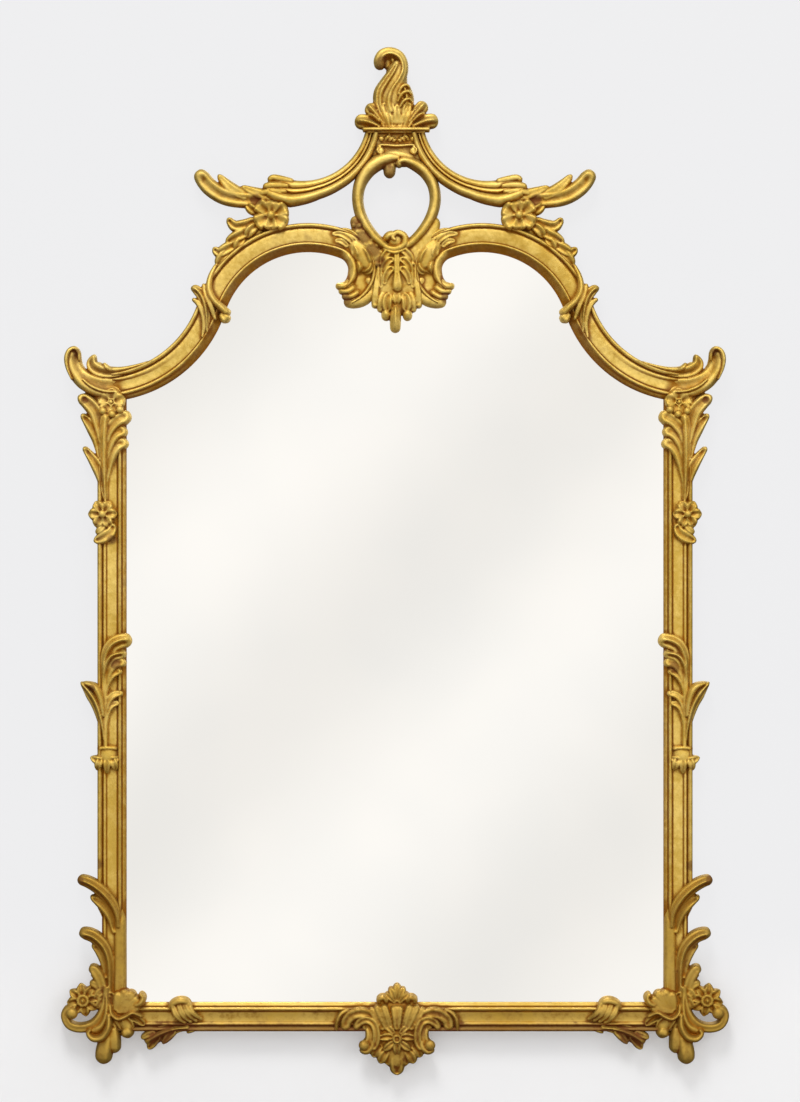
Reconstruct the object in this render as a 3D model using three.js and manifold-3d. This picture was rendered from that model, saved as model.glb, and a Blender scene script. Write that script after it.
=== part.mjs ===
// A wall mirror in a carved and gilded rococo frame: a shaped plate of silvered glass in a
// moulded frame with an ogee top, a pierced crest with a plume, flower and leaf sprays on the
// uprights, scrolled lower corners and a shell under the bottom rail.
//
// Millimetres, +Z up. The mirror looks along -Y and its flat back lies on the wall, the plane
// y = 0. The origin is on the centre line of the back, level with the tops of the uprights.
import * as THREE from "three";
import { mergeVertices } from "three/addons/utils/BufferGeometryUtils.js";
import Module from "manifold-3d";

const wasm = await Module();
wasm.setup();

// Driving dimensions of the moulded frame
const SIGHT_HALF_WIDTH = 269;
const SIGHT_BOTTOM = -583;
const RAIL_WIDTH = 29;
const RAIL_DEPTH = 20;
const UPRIGHT_TOP = 24;

// The ogee top of each half is two arcs of the rail's middle line, tangent to each other
const ARCH_CENTRE = new THREE.Vector2(-87, 81);
const ARCH_RADIUS = 102;
const ARCH_END_ANGLE = 62;
const SWEEP_CENTRE = new THREE.Vector2(-294.5, 149.5);
const SWEEP_RADIUS = SWEEP_CENTRE.distanceTo(ARCH_CENTRE) - ARCH_RADIUS;
const SWEEP_END_ANGLE = -93;
const OGEE_STEPS = 15;

// Glass and board, let into the back of the frame
const GLASS_THICKNESS = 4;
const BOARD_THICKNESS = 6;
const REBATE = 6;
const GAP = 0.3;
const GLASS_BACK = BOARD_THICKNESS + GAP;
const POCKET_DEPTH = GLASS_BACK + GLASS_THICKNESS + GAP;

// How far off the wall the back of the carving lies: on the rails it is sunk into them, and the
// free parts of the crest and the grounds under the shells come closer to the wall
const CARVING_BACK = 11;
const CREST_BACK = 4;

// Materials

const gilding = new THREE.MeshStandardMaterial({ color: 0xc39a45, roughness: 0.38, metalness: 0.9 });
const silvering = new THREE.MeshStandardMaterial({ color: 0xf2f4f3, roughness: 0.03, metalness: 1 });
const bareBoard = new THREE.MeshStandardMaterial({ color: 0x8a6a48, roughness: 0.85, metalness: 0 });

// Solids and geometries

function solidOf(geometry) {
  const bare = geometry.clone();
  bare.deleteAttribute("normal");
  bare.deleteAttribute("uv");
  const merged = mergeVertices(bare, 1e-3);
  return new wasm.Manifold(
    new wasm.Mesh({
      numProp: 3,
      vertProperties: new Float32Array(merged.attributes.position.array),
      triVerts: new Uint32Array(merged.index.array),
    }),
  );
}

function geometryOf(solid) {
  const mesh = solid.getMesh();
  const geometry = new THREE.BufferGeometry();
  geometry.setAttribute("position", new THREE.BufferAttribute(mesh.vertProperties, 3));
  geometry.setIndex(new THREE.BufferAttribute(mesh.triVerts, 1));
  return geometry;
}

function union(geometries) {
  return geometries.map(solidOf).reduce((whole, piece) => whole.add(piece));
}

// The other half of the frame: the same solid across the centre line, faces turned round again
function mirrored(solid) {
  const geometry = geometryOf(solid).scale(-1, 1, 1);
  const corners = geometry.index.array;
  for (let i = 0; i < corners.length; i += 3) {
    [corners[i + 1], corners[i + 2]] = [corners[i + 2], corners[i + 1]];
  }
  return solidOf(geometry);
}

function shapeOf(points) {
  return new THREE.Shape(points.map(([x, y]) => new THREE.Vector2(x, y)));
}

// Bends a bar of the given section along a flat curve. size(t) gives the section's width across
// the curve and how far its front stands off the wall; the section runs from -0.5 to 0.5 across
// and from 0 at the back to 1 at the front. Left of the way the curve runs is the + side.
function bentBar(section, curve, size, steps, back) {
  const bar = new THREE.ExtrudeGeometry(shapeOf(section), { depth: 1, steps, bevelEnabled: false });
  const place = bar.attributes.position;
  for (let i = 0; i < place.count; i++) {
    const t = THREE.MathUtils.clamp(place.getZ(i), 0, 1);
    const along = curve.getTangent(t);
    const middle = curve.getPoint(t);
    const { width, front } = size(t);
    const across = place.getX(i) * width;
    const depth = back + place.getY(i) * (front - back);
    place.setXYZ(i, middle.x - along.y * across, -depth, middle.y + along.x * across);
  }
  return bar;
}

// Carved strands: each point of the list is x, z, width and how far the crown stands off the wall

const LEAF = [[-0.5, 0], [0.5, 0], [0.14, 1], [-0.14, 1]];
const ROLL = [[-0.5, 0], [0.5, 0], [0.3, 1], [-0.3, 1]];
const FLUTED = [[-0.45, 0], [0.45, 0], [0.5, 0.6], [0.28, 1], [0, 0.78], [-0.28, 1], [-0.5, 0.6]];
const GROUND = [[-0.5, 0], [0.5, 0], [0.42, 1], [-0.42, 1]];

function strand(points, section = LEAF, back = CARVING_BACK) {
  const curve = new THREE.SplineCurve(points.map(([x, z]) => new THREE.Vector2(x, z)));
  const sizes = new THREE.SplineCurve(
    points.map(([, , width, front]) => new THREE.Vector2(width, front)),
  );
  const size = (t) => {
    const { x: width, y: front } = sizes.getPoint(t);
    return { width, front };
  };
  return bentBar(section, curve, size, points.length - 1, back);
}

// A fan of ribs from one hub; each tip is x, z and width
function fan(hub, tips, front, hubWidth = 4) {
  const [hubX, hubZ] = hub;
  return tips.map(([x, z, width]) =>
    strand([
      [hubX, hubZ, hubWidth, front - 4],
      [(hubX + x) / 2, (hubZ + z) / 2, (hubWidth + width) / 2, front],
      [x, z, width, front - 2],
    ]),
  );
}

// A bead or drop: an ellipsoid whose front stands the given distance off the wall
function bead(x, z, radius, front, tall = 1) {
  const ball = new THREE.SphereGeometry(radius, 6, 3);
  return ball.scale(1, 1, tall).translate(x, radius - front, z);
}

// A flower: a turned button whose rim is cut into petals, deep between them
const PETAL_NOTCH = 0.74;

function flower(x, z, radius, front, petals, turn = 0) {
  const profile = [
    [0, -CARVING_BACK],
    [radius, 5 - front],
    [0.68 * radius, -front],
    [0.32 * radius, 4 - front],
    [0, -front - 1],
  ];
  const outline = profile.map(([r, y]) => new THREE.Vector2(r, y)).reverse();
  const disc = new THREE.LatheGeometry(outline, 2 * petals);
  const place = disc.attributes.position;
  for (let i = 0; i < place.count; i++) {
    const angle = Math.atan2(place.getX(i), place.getZ(i));
    const notch = Math.round((angle / Math.PI) * petals) % 2 !== 0;
    const reach = Math.hypot(place.getX(i), place.getZ(i)) / radius;
    const shrink = notch && reach > 0.5 ? PETAL_NOTCH : 1;
    const sink = notch && reach > 0.5 ? 3 : 0;
    place.setXYZ(i, place.getX(i) * shrink, place.getY(i) + sink, place.getZ(i) * shrink);
  }
  return disc.rotateY(THREE.MathUtils.degToRad(turn)).translate(x, 0, z);
}

// The moulded rail: distance from its outer edge, and how far it stands off the wall

const RAIL_PROFILE = [
  [0, 0], [0, 15], [3, RAIL_DEPTH], [6, 16.5],
  [20, 16.5], [22.5, 19.5], [RAIL_WIDTH, 11.5], [RAIL_WIDTH, 0],
];
const RAIL_SECTION = RAIL_PROFILE.map(([out, depth]) => [
  0.5 - out / RAIL_WIDTH,
  depth / RAIL_DEPTH,
]).reverse();

const railSize = () => ({ width: RAIL_WIDTH, front: RAIL_DEPTH });

// The two uprights and the bottom rail in one run, mitred at the two corners
class MitredRun extends THREE.Curve {
  constructor(corners) {
    super();
    this.corners = corners.map(([x, z]) => new THREE.Vector2(x, z));
  }
  getPoint(t) {
    return this.corners[Math.round(t * (this.corners.length - 1))];
  }
  getTangent(t) {
    const at = Math.round(t * (this.corners.length - 1));
    const before = this.corners[Math.max(0, at - 1)];
    const after = this.corners[Math.min(this.corners.length - 1, at + 1)];
    const here = this.corners[at];
    const arriving = here.clone().sub(before).normalize();
    const leaving = after.clone().sub(here).normalize();
    return arriving.add(leaving).normalize();
  }
  stretch(t) {
    return t === 0 || t === 1 ? 1 : Math.SQRT2;
  }
}

function lowerRails() {
  const side = SIGHT_HALF_WIDTH + RAIL_WIDTH / 2;
  const foot = SIGHT_BOTTOM - RAIL_WIDTH / 2;
  const run = new MitredRun([[side, UPRIGHT_TOP], [side, foot], [-side, foot], [-side, UPRIGHT_TOP]]);
  const size = (t) => ({ width: RAIL_WIDTH * run.stretch(t), front: RAIL_DEPTH });
  return bentBar(RAIL_SECTION, run, size, 3, 0);
}

// An arc by its centre and radius, from one angle to another in degrees
function arc(centre, radius, from, to) {
  const radians = THREE.MathUtils.degToRad;
  return new THREE.EllipseCurve(centre.x, centre.y, radius, radius, radians(from), radians(to), to < from);
}

const JOIN_ANGLE = THREE.MathUtils.radToDeg(SWEEP_CENTRE.clone().sub(ARCH_CENTRE).angle());

// The ogee top of one half: the hollow sweep up from the shoulder, then the round arch
function ogeeRail() {
  const ogee = new THREE.CurvePath();
  ogee.add(arc(SWEEP_CENTRE, SWEEP_RADIUS, SWEEP_END_ANGLE, JOIN_ANGLE - 180));
  ogee.add(arc(ARCH_CENTRE, ARCH_RADIUS, JOIN_ANGLE, ARCH_END_ANGLE));
  return bentBar(RAIL_SECTION, ogee, railSize, OGEE_STEPS, 0);
}

// Left half of the carving; the right half is its mirror image

function shoulderCurls() {
  return [
    strand([
      [-284, 33, 13, 20], [-303, 35, 14, 22], [-317, 43, 14, 24],
      [-325, 56, 14, 24], [-322, 68, 9, 23],
    ], ROLL, 6),
    strand([
      [-265, 48, 7, 20], [-283, 46, 9, 22], [-298, 49, 11, 25],
      [-305, 57, 10, 24], [-303, 65, 6, 22],
    ], LEAF, 6),
  ];
}

function shoulderSpray() {
  return [
    flower(-284, 17, 14, 30, 5),
    strand([[-279, 8, 10, 24], [-267, 5, 12, 25], [-264, -2, 8, 22]], ROLL),
    strand([
      [-291, -82, 9, 19], [-291, -45, 12, 26], [-294, -14, 13, 28],
      [-303, 11, 13, 28], [-318, 22, 11, 25],
    ], ROLL),
    strand([[-293, -32, 9, 23], [-299, -10, 12, 26], [-304, -1, 11, 26], [-315, 6, 5, 23]]),
    strand([[-292, -76, 6, 20], [-295, -57, 10, 23], [-301, -42, 10, 25], [-313, -28, 4, 23]]),
    strand([[-290, -28, 9, 25], [-282, -10, 11, 27], [-268, -3, 9, 23]]),
    strand([[-289, -48, 9, 24], [-282, -29, 10, 26], [-268, -21, 8, 22]]),
  ];
}

function uprightFlower() {
  return [
    flower(-292, -95, 16, 29, 6, 30),
    strand([[-283, -106, 8, 24], [-289, -116, 11, 26], [-302, -121, 7, 23]]),
  ];
}

function uprightSpray() {
  return [
    strand([
      [-291, -328, 7, 19], [-291, -285, 9, 24], [-290, -245, 11, 26],
      [-280, -225, 12, 28], [-266, -221, 14, 27],
    ], ROLL),
    strand([[-291, -266, 8, 23], [-284, -243, 10, 26], [-270, -236, 8, 22]]),
    strand([[-291, -292, 8, 23], [-285, -278, 9, 25], [-273, -273, 6, 22]]),
    strand([[-292, -300, 7, 22], [-297, -281, 11, 25], [-304, -269, 10, 26], [-315, -262, 5, 23]]),
    flower(-290, -339, 15, 27, 5, 54),
  ];
}

function footSpray() {
  return [
    strand([
      [-276, -500, 6, 20], [-283, -482, 10, 26], [-293, -470, 11, 28],
      [-306, -463, 12, 28], [-318, -460, 8, 25],
    ], ROLL),
    strand([[-283, -514, 7, 20], [-287, -493, 10, 24], [-294, -482, 11, 26], [-305, -475, 8, 23]]),
    strand([
      [-284, -578, 8, 22], [-284, -542, 10, 24], [-287, -525, 12, 27],
      [-298, -516, 14, 28], [-314, -514, 10, 25],
    ], ROLL),
    strand([[-293, -580, 9, 22], [-296, -562, 11, 25], [-301, -549, 13, 26]], ROLL),
  ];
}

function cornerScrolls() {
  return [
    flower(-311, -580, 18, 29, 8, 11),
    strand([
      [-289, -588, 10, 24], [-296, -603, 11, 24], [-308, -609, 11, 24],
      [-322, -607, 11, 24], [-329, -597, 10, 24], [-326, -588, 9, 24],
    ], ROLL, 8),
    bead(-322, -593, 7, 27),
    strand([
      [-287, -578, 10, 26], [-286, -598, 13, 29], [-290, -612, 14, 29], [-301, -616, 15, 27],
    ], ROLL),
    ...fan([-285, -598], [[-279, -570, 14], [-266, -571, 15], [-256, -581, 14]], 28, 7),
    strand([[-283, -600, 8, 23], [-267, -616, 15, 25]], ROLL),
    strand([[-289, -604, 10, 26], [-293, -632, 17, 26], [-294, -646, 11, 24]], ROLL, 9),
    strand([[-286, -604, 9, 25], [-281, -626, 15, 25], [-280, -634, 10, 23]], ROLL, 10),
  ];
}

function railRibbon() {
  return [
    strand([[-222, -581, 11, 22], [-214, -591, 10, 26], [-202, -604, 7, 21]]),
    strand([[-212, -579, 13, 23], [-206, -591, 10, 26], [-195, -604, 6, 21]]),
    strand([
      [-204, -605, 5, 20], [-225, -610, 11, 23], [-240, -615, 16, 25], [-250, -624, 13, 22],
    ], ROLL),
  ];
}

function archStrap() {
  return [
    strand([[-182, 150, 6, 20], [-187, 131, 9, 25], [-181, 115, 10, 27], [-166, 101, 12, 24]], ROLL),
    strand([[-203, 131, 13, 23], [-192, 119, 12, 27], [-185, 93, 6, 20]]),
  ];
}

function archFlowerTrail() {
  return [
    strand([[-125, 186, 18, 18], [-125, 224, 18, 18]], GROUND, CREST_BACK + 2),
    flower(-125, 204, 19, 31, 5, 20),
    strand([[-134, 197, 10, 25], [-158, 195, 13, 27], [-168, 201, 8, 23]]),
    strand([[-140, 193, 11, 24], [-162, 184, 15, 26], [-167, 171, 10, 22]]),
    strand([[-158, 180, 10, 23], [-173, 169, 13, 25], [-180, 158, 6, 21]]),
  ];
}

// The swept arm over each arch: thin fillets along its top and a large roll below
const ARM_SECTION = [
  [-0.5, 0], [0.5, 0], [0.5, 0.7], [0.3, 0.84],
  [0.1, 0.74], [-0.14, 1], [-0.36, 0.96], [-0.5, 0.6],
];

function crestArm() {
  return [
    strand([
      [-130, 228, 24, 22], [-112, 227, 27, 25], [-95, 227.5, 25, 25], [-77, 231.5, 20, 25],
      [-59, 239, 18, 25], [-44, 250, 17, 25], [-30, 268, 16, 24], [-24, 289, 15, 23],
    ], ARM_SECTION, CREST_BACK),
    strand([[-110, 238, 9, 25], [-122, 239, 11, 28], [-133, 231, 9, 25]], ROLL),
    strand([
      [-124, 219, 13, 22], [-145, 220, 15, 24], [-163, 223, 16, 25],
      [-181, 232, 17, 25], [-197, 248, 11, 24],
    ], FLUTED, CREST_BACK + 1),
    strand([[-166, 231, 8, 24], [-182, 249, 5, 23]]),
    strand([[-138, 224, 8, 24], [-156, 235, 5, 22]]),
  ];
}

function archVolute() {
  return [
    strand([
      [-58, 184, 14, 18], [-34, 164, 26, 19], [-29, 144, 26, 19], [-42, 126, 20, 19],
    ], GROUND, CREST_BACK + 2),
    strand([
      [-66, 196, 6, 20], [-44, 186, 9, 24], [-29, 168, 10, 26], [-19, 149, 10, 27],
      [-21, 131, 10, 27], [-34, 119, 11, 25], [-52, 118, 11, 24], [-59, 125, 8, 24],
    ]),
    strand([
      [-64, 164, 9, 19], [-50, 159, 11, 24], [-42, 148, 11, 26],
      [-44, 136, 11, 26], [-58, 132, 9, 24],
    ]),
    strand([[-50, 182, 10, 22], [-37, 173, 14, 27], [-29, 159, 14, 27], [-33, 149, 9, 23]], ROLL),
  ];
}

// The web between the oval's lower flank and the volute
function crestWeb() {
  return [
    strand([
      [-43, 204, 6, 17], [-31, 182, 16, 17], [-18, 164, 18, 17], [-11, 148, 10, 17],
    ], GROUND, CREST_BACK + 1),
  ];
}

// The pieces on the centre line

function ovalRing() {
  const RADIUS = 39;
  const HALF_WIDTH = 6;
  const CENTRE_Z = 214;
  const POINT_DROP = 0.16;
  const profile = [[-0.9, 3], [0.9, 3], [1, 17], [0, 24], [-1, 17], [-0.9, 3]];
  const outline = profile.map(([out, depth]) => new THREE.Vector2(RADIUS + out * HALF_WIDTH, -depth));
  const ring = new THREE.LatheGeometry(outline.reverse(), 18);
  const place = ring.attributes.position;
  for (let i = 0; i < place.count; i++) {
    const down = Math.max(0, -place.getZ(i)) / RADIUS;
    place.setZ(i, place.getZ(i) * (1 + POINT_DROP * down ** 6));
  }
  return ring.translate(0, 0, CENTRE_Z);
}

function crestBlock() {
  return [
    strand([[0, 296, 50, 19], [0, 272, 44, 19], [0, 252, 30, 19]], GROUND, CREST_BACK - 2),
    strand([[-17, 274, 6, 22], [0, 277, 7, 24], [17, 274, 6, 22]]),
    bead(-4, 250, 6, 24, 1.4),
    strand([[-34, 290.5, 6, 26], [34, 290.5, 6, 26]], ROLL),
  ];
}

function ovalVolute() {
  return [
    strand([
      [-14, 178, 5, 24], [-5, 172, 7, 27], [6, 173, 7, 28],
      [11, 181, 7, 28], [4, 188, 7, 27], [-4, 186, 5, 25],
    ], ROLL),
    bead(2, 180, 8, 27),
  ];
}

function pendant() {
  const sides = [-1, 1].flatMap((side) => [
    strand([[side * 14, 150, 9, 22], [side * 20, 132, 10, 26], [side * 18, 110, 10, 24]]),
    strand([[side * 6, 134, 8, 25], [side * 9, 119, 11, 28], [side * 9, 103, 9, 25]], ROLL),
    strand([[side * 2, 162, 9, 27], [side * 13, 150, 6, 24]]),
  ]);
  return [
    strand([
      [0, 176, 26, 19], [0, 150, 34, 20], [0, 125, 38, 21], [0, 110, 26, 20],
    ], GROUND, CREST_BACK),
    ...sides,
    strand([[0, 170, 10, 24], [1, 152, 15, 30], [2, 130, 9, 28]]),
    strand([[0, 132, 10, 27], [0, 112, 13, 29], [0, 89, 10, 24]], ROLL),
  ];
}

function finial() {
  return [
    strand([
      [0, 290, 36, 22], [-1, 318, 39, 27], [0, 332, 34, 27], [3, 346, 22, 26],
      [6, 358, 15, 26], [-1, 368, 11, 26], [-12, 367, 13, 27], [-15, 356, 12, 26],
    ], FLUTED, CREST_BACK),
    strand([[-10, 293, 8, 24], [-21, 304, 12, 28], [-25, 313, 12, 27]], ROLL),
    strand([[-20, 294, 8, 24], [-30, 299, 12, 27], [-40, 299, 12, 25]], ROLL),
    strand([[10, 293, 8, 24], [22, 304, 12, 28], [28, 314, 12, 27]], ROLL),
    strand([[20, 294, 8, 24], [30, 299, 12, 27], [42, 300, 12, 25]], ROLL),
    ...fan([1, 292], [[-11, 316, 12], [1, 318, 12], [13, 316, 12]], 31, 7),
  ];
}

function bottomShell() {
  const sides = [-1, 1].flatMap((side) => [
    strand([
      [side * 60, -611, 7, 21], [side * 59, -597, 8, 24],
      [side * 49, -590, 9, 25], [side * 22, -588, 10, 26],
    ]),
    strand([
      [side * 43, -608, 8, 22], [side * 35, -597, 11, 27], [side * 23, -599, 12, 29],
      [side * 18, -614, 12, 29], [side * 29, -628, 12, 27],
    ], ROLL),
    bead(side * 31, -624, 7, 28),
    strand([[side * 5, -622, 10, 28], [side * 20, -636, 14, 25]], ROLL),
    bead(side * 13, -578, 7, 26),
  ]);
  return [
    strand([
      [0, -580, 34, 21], [0, -606, 50, 23], [0, -630, 40, 23], [0, -643, 26, 21],
    ], GROUND, CREST_BACK),
    ...sides,
    ...fan([1, -610], [[-12, -584, 12], [1, -569, 15], [14, -584, 12]], 29, 7),
    bead(1, -617, 8, 32),
    strand([[1, -624, 12, 28], [1, -644, 24, 26], [1, -656, 13, 23]], ROLL),
  ];
}

// Glass and board: the sight opening with its edges taken back into the rebate

// The plate's outline, grown by the given amount beyond the rebate line
function plateShape(grow) {
  const back = REBATE + grow;
  const inArch = ARCH_RADIUS - RAIL_WIDTH / 2 + back;
  const inSweep = SWEEP_RADIUS + RAIL_WIDTH / 2 - back;
  const side = SIGHT_HALF_WIDTH + back;
  const foot = SIGHT_BOTTOM - back;
  const PLATE_ARCH_END = 56;
  const sweepStart = -THREE.MathUtils.radToDeg(Math.acos((-side - SWEEP_CENTRE.x) / inSweep));
  const left = [
    ...arc(SWEEP_CENTRE, inSweep, sweepStart, JOIN_ANGLE - 180).getPoints(7),
    ...arc(ARCH_CENTRE, inArch, JOIN_ANGLE, PLATE_ARCH_END).getPoints(10),
  ];
  const right = left.map((point) => new THREE.Vector2(-point.x, point.y)).reverse();
  const corners = [new THREE.Vector2(side, foot), new THREE.Vector2(-side, foot)];
  return new THREE.Shape([...corners, ...left, ...right]);
}

// A flat slab of the shape, from one distance off the wall to another
function slab(shape, from, to) {
  const slabGeometry = new THREE.ExtrudeGeometry(shape, { depth: to - from, bevelEnabled: false });
  return slabGeometry.rotateX(Math.PI / 2).translate(0, -from, 0);
}

function frameGeometry() {
  const left = union([
    ogeeRail(), ...shoulderCurls(), ...shoulderSpray(), ...uprightFlower(), ...uprightSpray(),
    ...footSpray(), ...cornerScrolls(), ...railRibbon(), ...archStrap(), ...archFlowerTrail(),
    ...crestArm(), ...archVolute(), ...crestWeb(),
  ]);
  const centre = union([
    ovalRing(), ...crestBlock(), ...ovalVolute(), ...pendant(), ...finial(), ...bottomShell(),
  ]);
  const pocket = solidOf(slab(plateShape(GAP), -1, POCKET_DEPTH));
  const whole = solidOf(lowerRails()).add(left).add(mirrored(left)).add(centre);
  return geometryOf(whole.subtract(pocket));
}

function node(name, geometry, material) {
  const mesh = new THREE.Mesh(geometry, material);
  mesh.name = name;
  return mesh;
}

const mirror = new THREE.Group();
mirror.add(node("carved_frame", frameGeometry(), gilding));
const glassFront = GLASS_BACK + GLASS_THICKNESS;
mirror.add(node("mirror_glass", slab(plateShape(0), GLASS_BACK, glassFront), silvering));
mirror.add(node("backboard", slab(plateShape(0), 0, BOARD_THICKNESS), bareBoard));

export default mirror;
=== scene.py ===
# %% [markdown]
# # A carved and gilded wall mirror
# The frame of this mirror is carved wood under a skin of gesso, red clay and gold leaf. The CAD
# part gives its sizes; here the same frame gets its finer carving and its finish. Everything
# stays in the frame of the CAD part: metres, the wall at y = 0, the mirror looking along -Y.

# %% Load the CAD part
import math
import bmesh
import bpy
import numpy as np
from mathutils import Matrix, Vector
from mathutils.kdtree import KDTree


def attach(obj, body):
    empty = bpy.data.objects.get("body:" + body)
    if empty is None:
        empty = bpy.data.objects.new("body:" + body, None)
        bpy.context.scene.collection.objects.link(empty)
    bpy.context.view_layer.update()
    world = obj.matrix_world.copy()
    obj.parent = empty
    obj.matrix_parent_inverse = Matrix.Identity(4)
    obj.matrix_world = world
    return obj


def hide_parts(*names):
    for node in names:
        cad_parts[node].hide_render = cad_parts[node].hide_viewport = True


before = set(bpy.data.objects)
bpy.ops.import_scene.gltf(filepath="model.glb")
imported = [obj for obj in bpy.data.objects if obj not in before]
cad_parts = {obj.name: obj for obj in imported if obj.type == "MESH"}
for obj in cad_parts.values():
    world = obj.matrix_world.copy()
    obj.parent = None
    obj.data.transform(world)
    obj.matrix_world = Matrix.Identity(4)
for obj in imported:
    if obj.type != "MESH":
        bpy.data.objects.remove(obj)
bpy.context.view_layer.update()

# %% [markdown]
# A carver works from a full-size drawing. The carving is laid out on one such sheet: u runs to
# the right and v down, in millimetres, from the sheet's top left corner. `spot` takes a place
# on the sheet and a distance off the wall to the shared frame, still in millimetres; each
# finished mesh is scaled to metres once.

# %% The full-size drawing
SHEET_LEFT = -395
SHEET_TOP = 420
MILLIMETRE = 0.001


def spot(u, v, off_wall):
    return Vector((SHEET_LEFT + u, -off_wall, SHEET_TOP - v))


print("sheet corner at", spot(0, 0, 0)[:], "mm")

# %% [markdown]
# Nearly every leaf, scroll and rib on the frame is one stroke of the gouge: a bar that follows
# a curve, swells, and runs out in a rounded tip. `smooth_line` draws the curve through a few
# points of the drawing, and their widths and heights follow the same curve.

# %% Smooth lines
LINE_SPACING = 1.0


def smooth_line(points):
    given = np.array(points, float)
    ends = np.vstack([2 * given[0] - given[1], given, 2 * given[-1] - given[-2]])
    line = []
    for a, b, c, d in zip(ends, ends[1:], ends[2:], ends[3:]):
        count = max(2, round(np.linalg.norm((c - b)[:2]) / LINE_SPACING))
        for t in np.arange(count) / count:
            bend = (2 * a - 5 * b + 4 * c - d) * t**2 + (3 * b - a - 3 * c + d) * t**3
            line.append(0.5 * (2 * b + (c - a) * t + bend))
    return np.array(line + [given[-1]])


print("a leaf line has", len(smooth_line([(0, 0), (10, 20), (30, 25)])), "points")

# %% [markdown]
# A stroke is drawn as a row of points, each with its place across and down the sheet, half the
# width there, and the height of the crown off the wall. It starts as a UV sphere, because a
# sphere is already closed at both poles: its rings are laid along the curve, and the poles
# become the tips. Around each ring, the front four fifths rise to the crown and the rest lies
# flat at the back. A gouge leaves hollows along the crown, one or several; they fade out towards
# both tips, as the tool's cut does. `strokes` cuts several lines in the same way, and `beside`
# moves lines drawn from an axis to one side of it.

# %% The gouge stroke
FRONT_SHARE = 0.8
END_CROWDING = 0.115
RING_SPACING, FEWEST_RINGS = 0.9, 10
CUT_IN, CUT_OUT = 0.18, 0.14
TIP_HEIGHT = 0.3
SHARPEST_TIP = 0.01
# A change along a line is complete after two thirds of it.
CHANGE_RATE = 1.5


def join(bm, part):
    mesh = bpy.data.meshes.new("part")
    part.to_mesh(mesh)
    part.free()
    bm.from_mesh(mesh)
    bpy.data.meshes.remove(mesh)


def fade(x):
    x = min(max(x, 0.0), 1.0)
    return x * x * (3 - 2 * x)


def stroke(bm, points, back=9, hollow=0.0, flutes=1, tips=(1.0, 1.0), lean=0.0,
           round_off=(2.3, 2.3), around=24):
    line = smooth_line(points)
    steps = np.linalg.norm(np.diff(line[:, :2], axis=0), axis=1)
    reach = np.concatenate([[0], np.cumsum(steps)])
    length = reach[-1]
    count = max(FEWEST_RINGS, round(length / RING_SPACING))
    slope = np.gradient(line[:, :2], axis=0)
    rings = []
    for i in range(count + 1):
        at = length * (i / count - END_CROWDING * math.sin(2 * math.pi * i / count))
        u, v, half, front = (np.interp(at, reach, line[:, k]) for k in range(4))
        du, dv = (np.interp(at, reach, slope[:, k]) for k in range(2))
        size = math.hypot(du, dv)
        tip = 1.0
        for gap, soft, end in ((at, tips[0], line[0]), (length - at, tips[1], line[-1])):
            run = max(soft * end[2], SHARPEST_TIP)
            if gap < run:
                tip *= math.sqrt(max(0.0, 1 - (1 - gap / run) ** 2))
        cut = hollow * fade(at / (CUT_IN * length)) * fade((length - at) / (CUT_OUT * length))
        bulge = round_off[0] + (round_off[1] - round_off[0]) * min(1.0, CHANGE_RATE * at / length)
        crest_front = back + (front - back) * (TIP_HEIGHT + (1 - TIP_HEIGHT) * tip)
        rings.append((u, v, -dv / size, du / size, half * tip, crest_front, cut, bulge))
    part = bmesh.new()
    bmesh.ops.create_uvsphere(part, u_segments=around, v_segments=count, radius=1)
    for vert in part.verts:
        ring = round(math.acos(max(-1.0, min(1.0, vert.co.z))) / math.pi * count)
        u, v, across_u, across_v, half, front, cut, bulge = rings[ring]
        turn = math.atan2(vert.co.y, vert.co.x) / math.pi
        if abs(turn) <= FRONT_SHARE:
            side = math.sin(turn / FRONT_SHARE * math.pi / 2)
            crown = side + lean * (1 - side * side)
            rise = max(0.0, 1 - abs(side) ** bulge) ** (1 / bulge)
            rise *= 1 - cut * math.sin(flutes * math.pi * (crown + 1) / 2) ** 2
            depth = back + (front - back) * rise
        else:
            side = math.copysign((1 - abs(turn)) / (1 - FRONT_SHARE), turn)
            depth = back
        vert.co = spot(u + across_u * half * side, v + across_v * half * side, depth)
    join(bm, part)


def strokes(bm, lines, **cut):
    for line in lines:
        stroke(bm, line, **cut)


def beside(axis, side, lines):
    return [
        [(axis + side * away, v, half, front) for away, v, half, front in line] for line in lines
    ]


print("stroke is ready: a sphere bent along a drawn line")

# %% [markdown]
# Balls, flowers and rings are the other shapes a carver repeats. A ball is a sphere set with
# its front at a height. A flower is a circle of cupped petals, each one a short stroke, round a
# small boss. A ring is one stroke that runs a little more than once round a circle.

# %% Balls, flowers and rings
BALL_SIDES, BALL_RINGS = 20, 12
BOSS_RISE = 0.5
RING_STEP, RING_DEPTH, RING_SIDES = 30, 6, 12


def ball(bm, u, v, radius, front):
    part = bmesh.new()
    bmesh.ops.create_uvsphere(part, u_segments=BALL_SIDES, v_segments=BALL_RINGS, radius=radius)
    bmesh.ops.translate(part, vec=spot(u, v, front - radius), verts=part.verts)
    join(bm, part)


def flower(bm, u, v, radius, front, petals, turn, width, boss, cup, droop, point=1.0, back=9):
    for k in range(petals):
        angle = math.radians(turn + 360 * k / petals)
        ray_u, ray_v = math.cos(angle), math.sin(angle)
        shape = [(0.12, 0.5 * width, -4.0), (0.45, width, -1.0), (0.78, width, 0.0),
                 (1.0, 0.6 * width, -droop)]
        points = [
            (u + ray_u * far * radius, v + ray_v * far * radius, wide * radius, front + rise)
            for far, wide, rise in shape
        ]
        stroke(bm, points, back=back, hollow=cup, tips=(0.5, point))
    ball(bm, u, v, boss * radius, front + BOSS_RISE)


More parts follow.
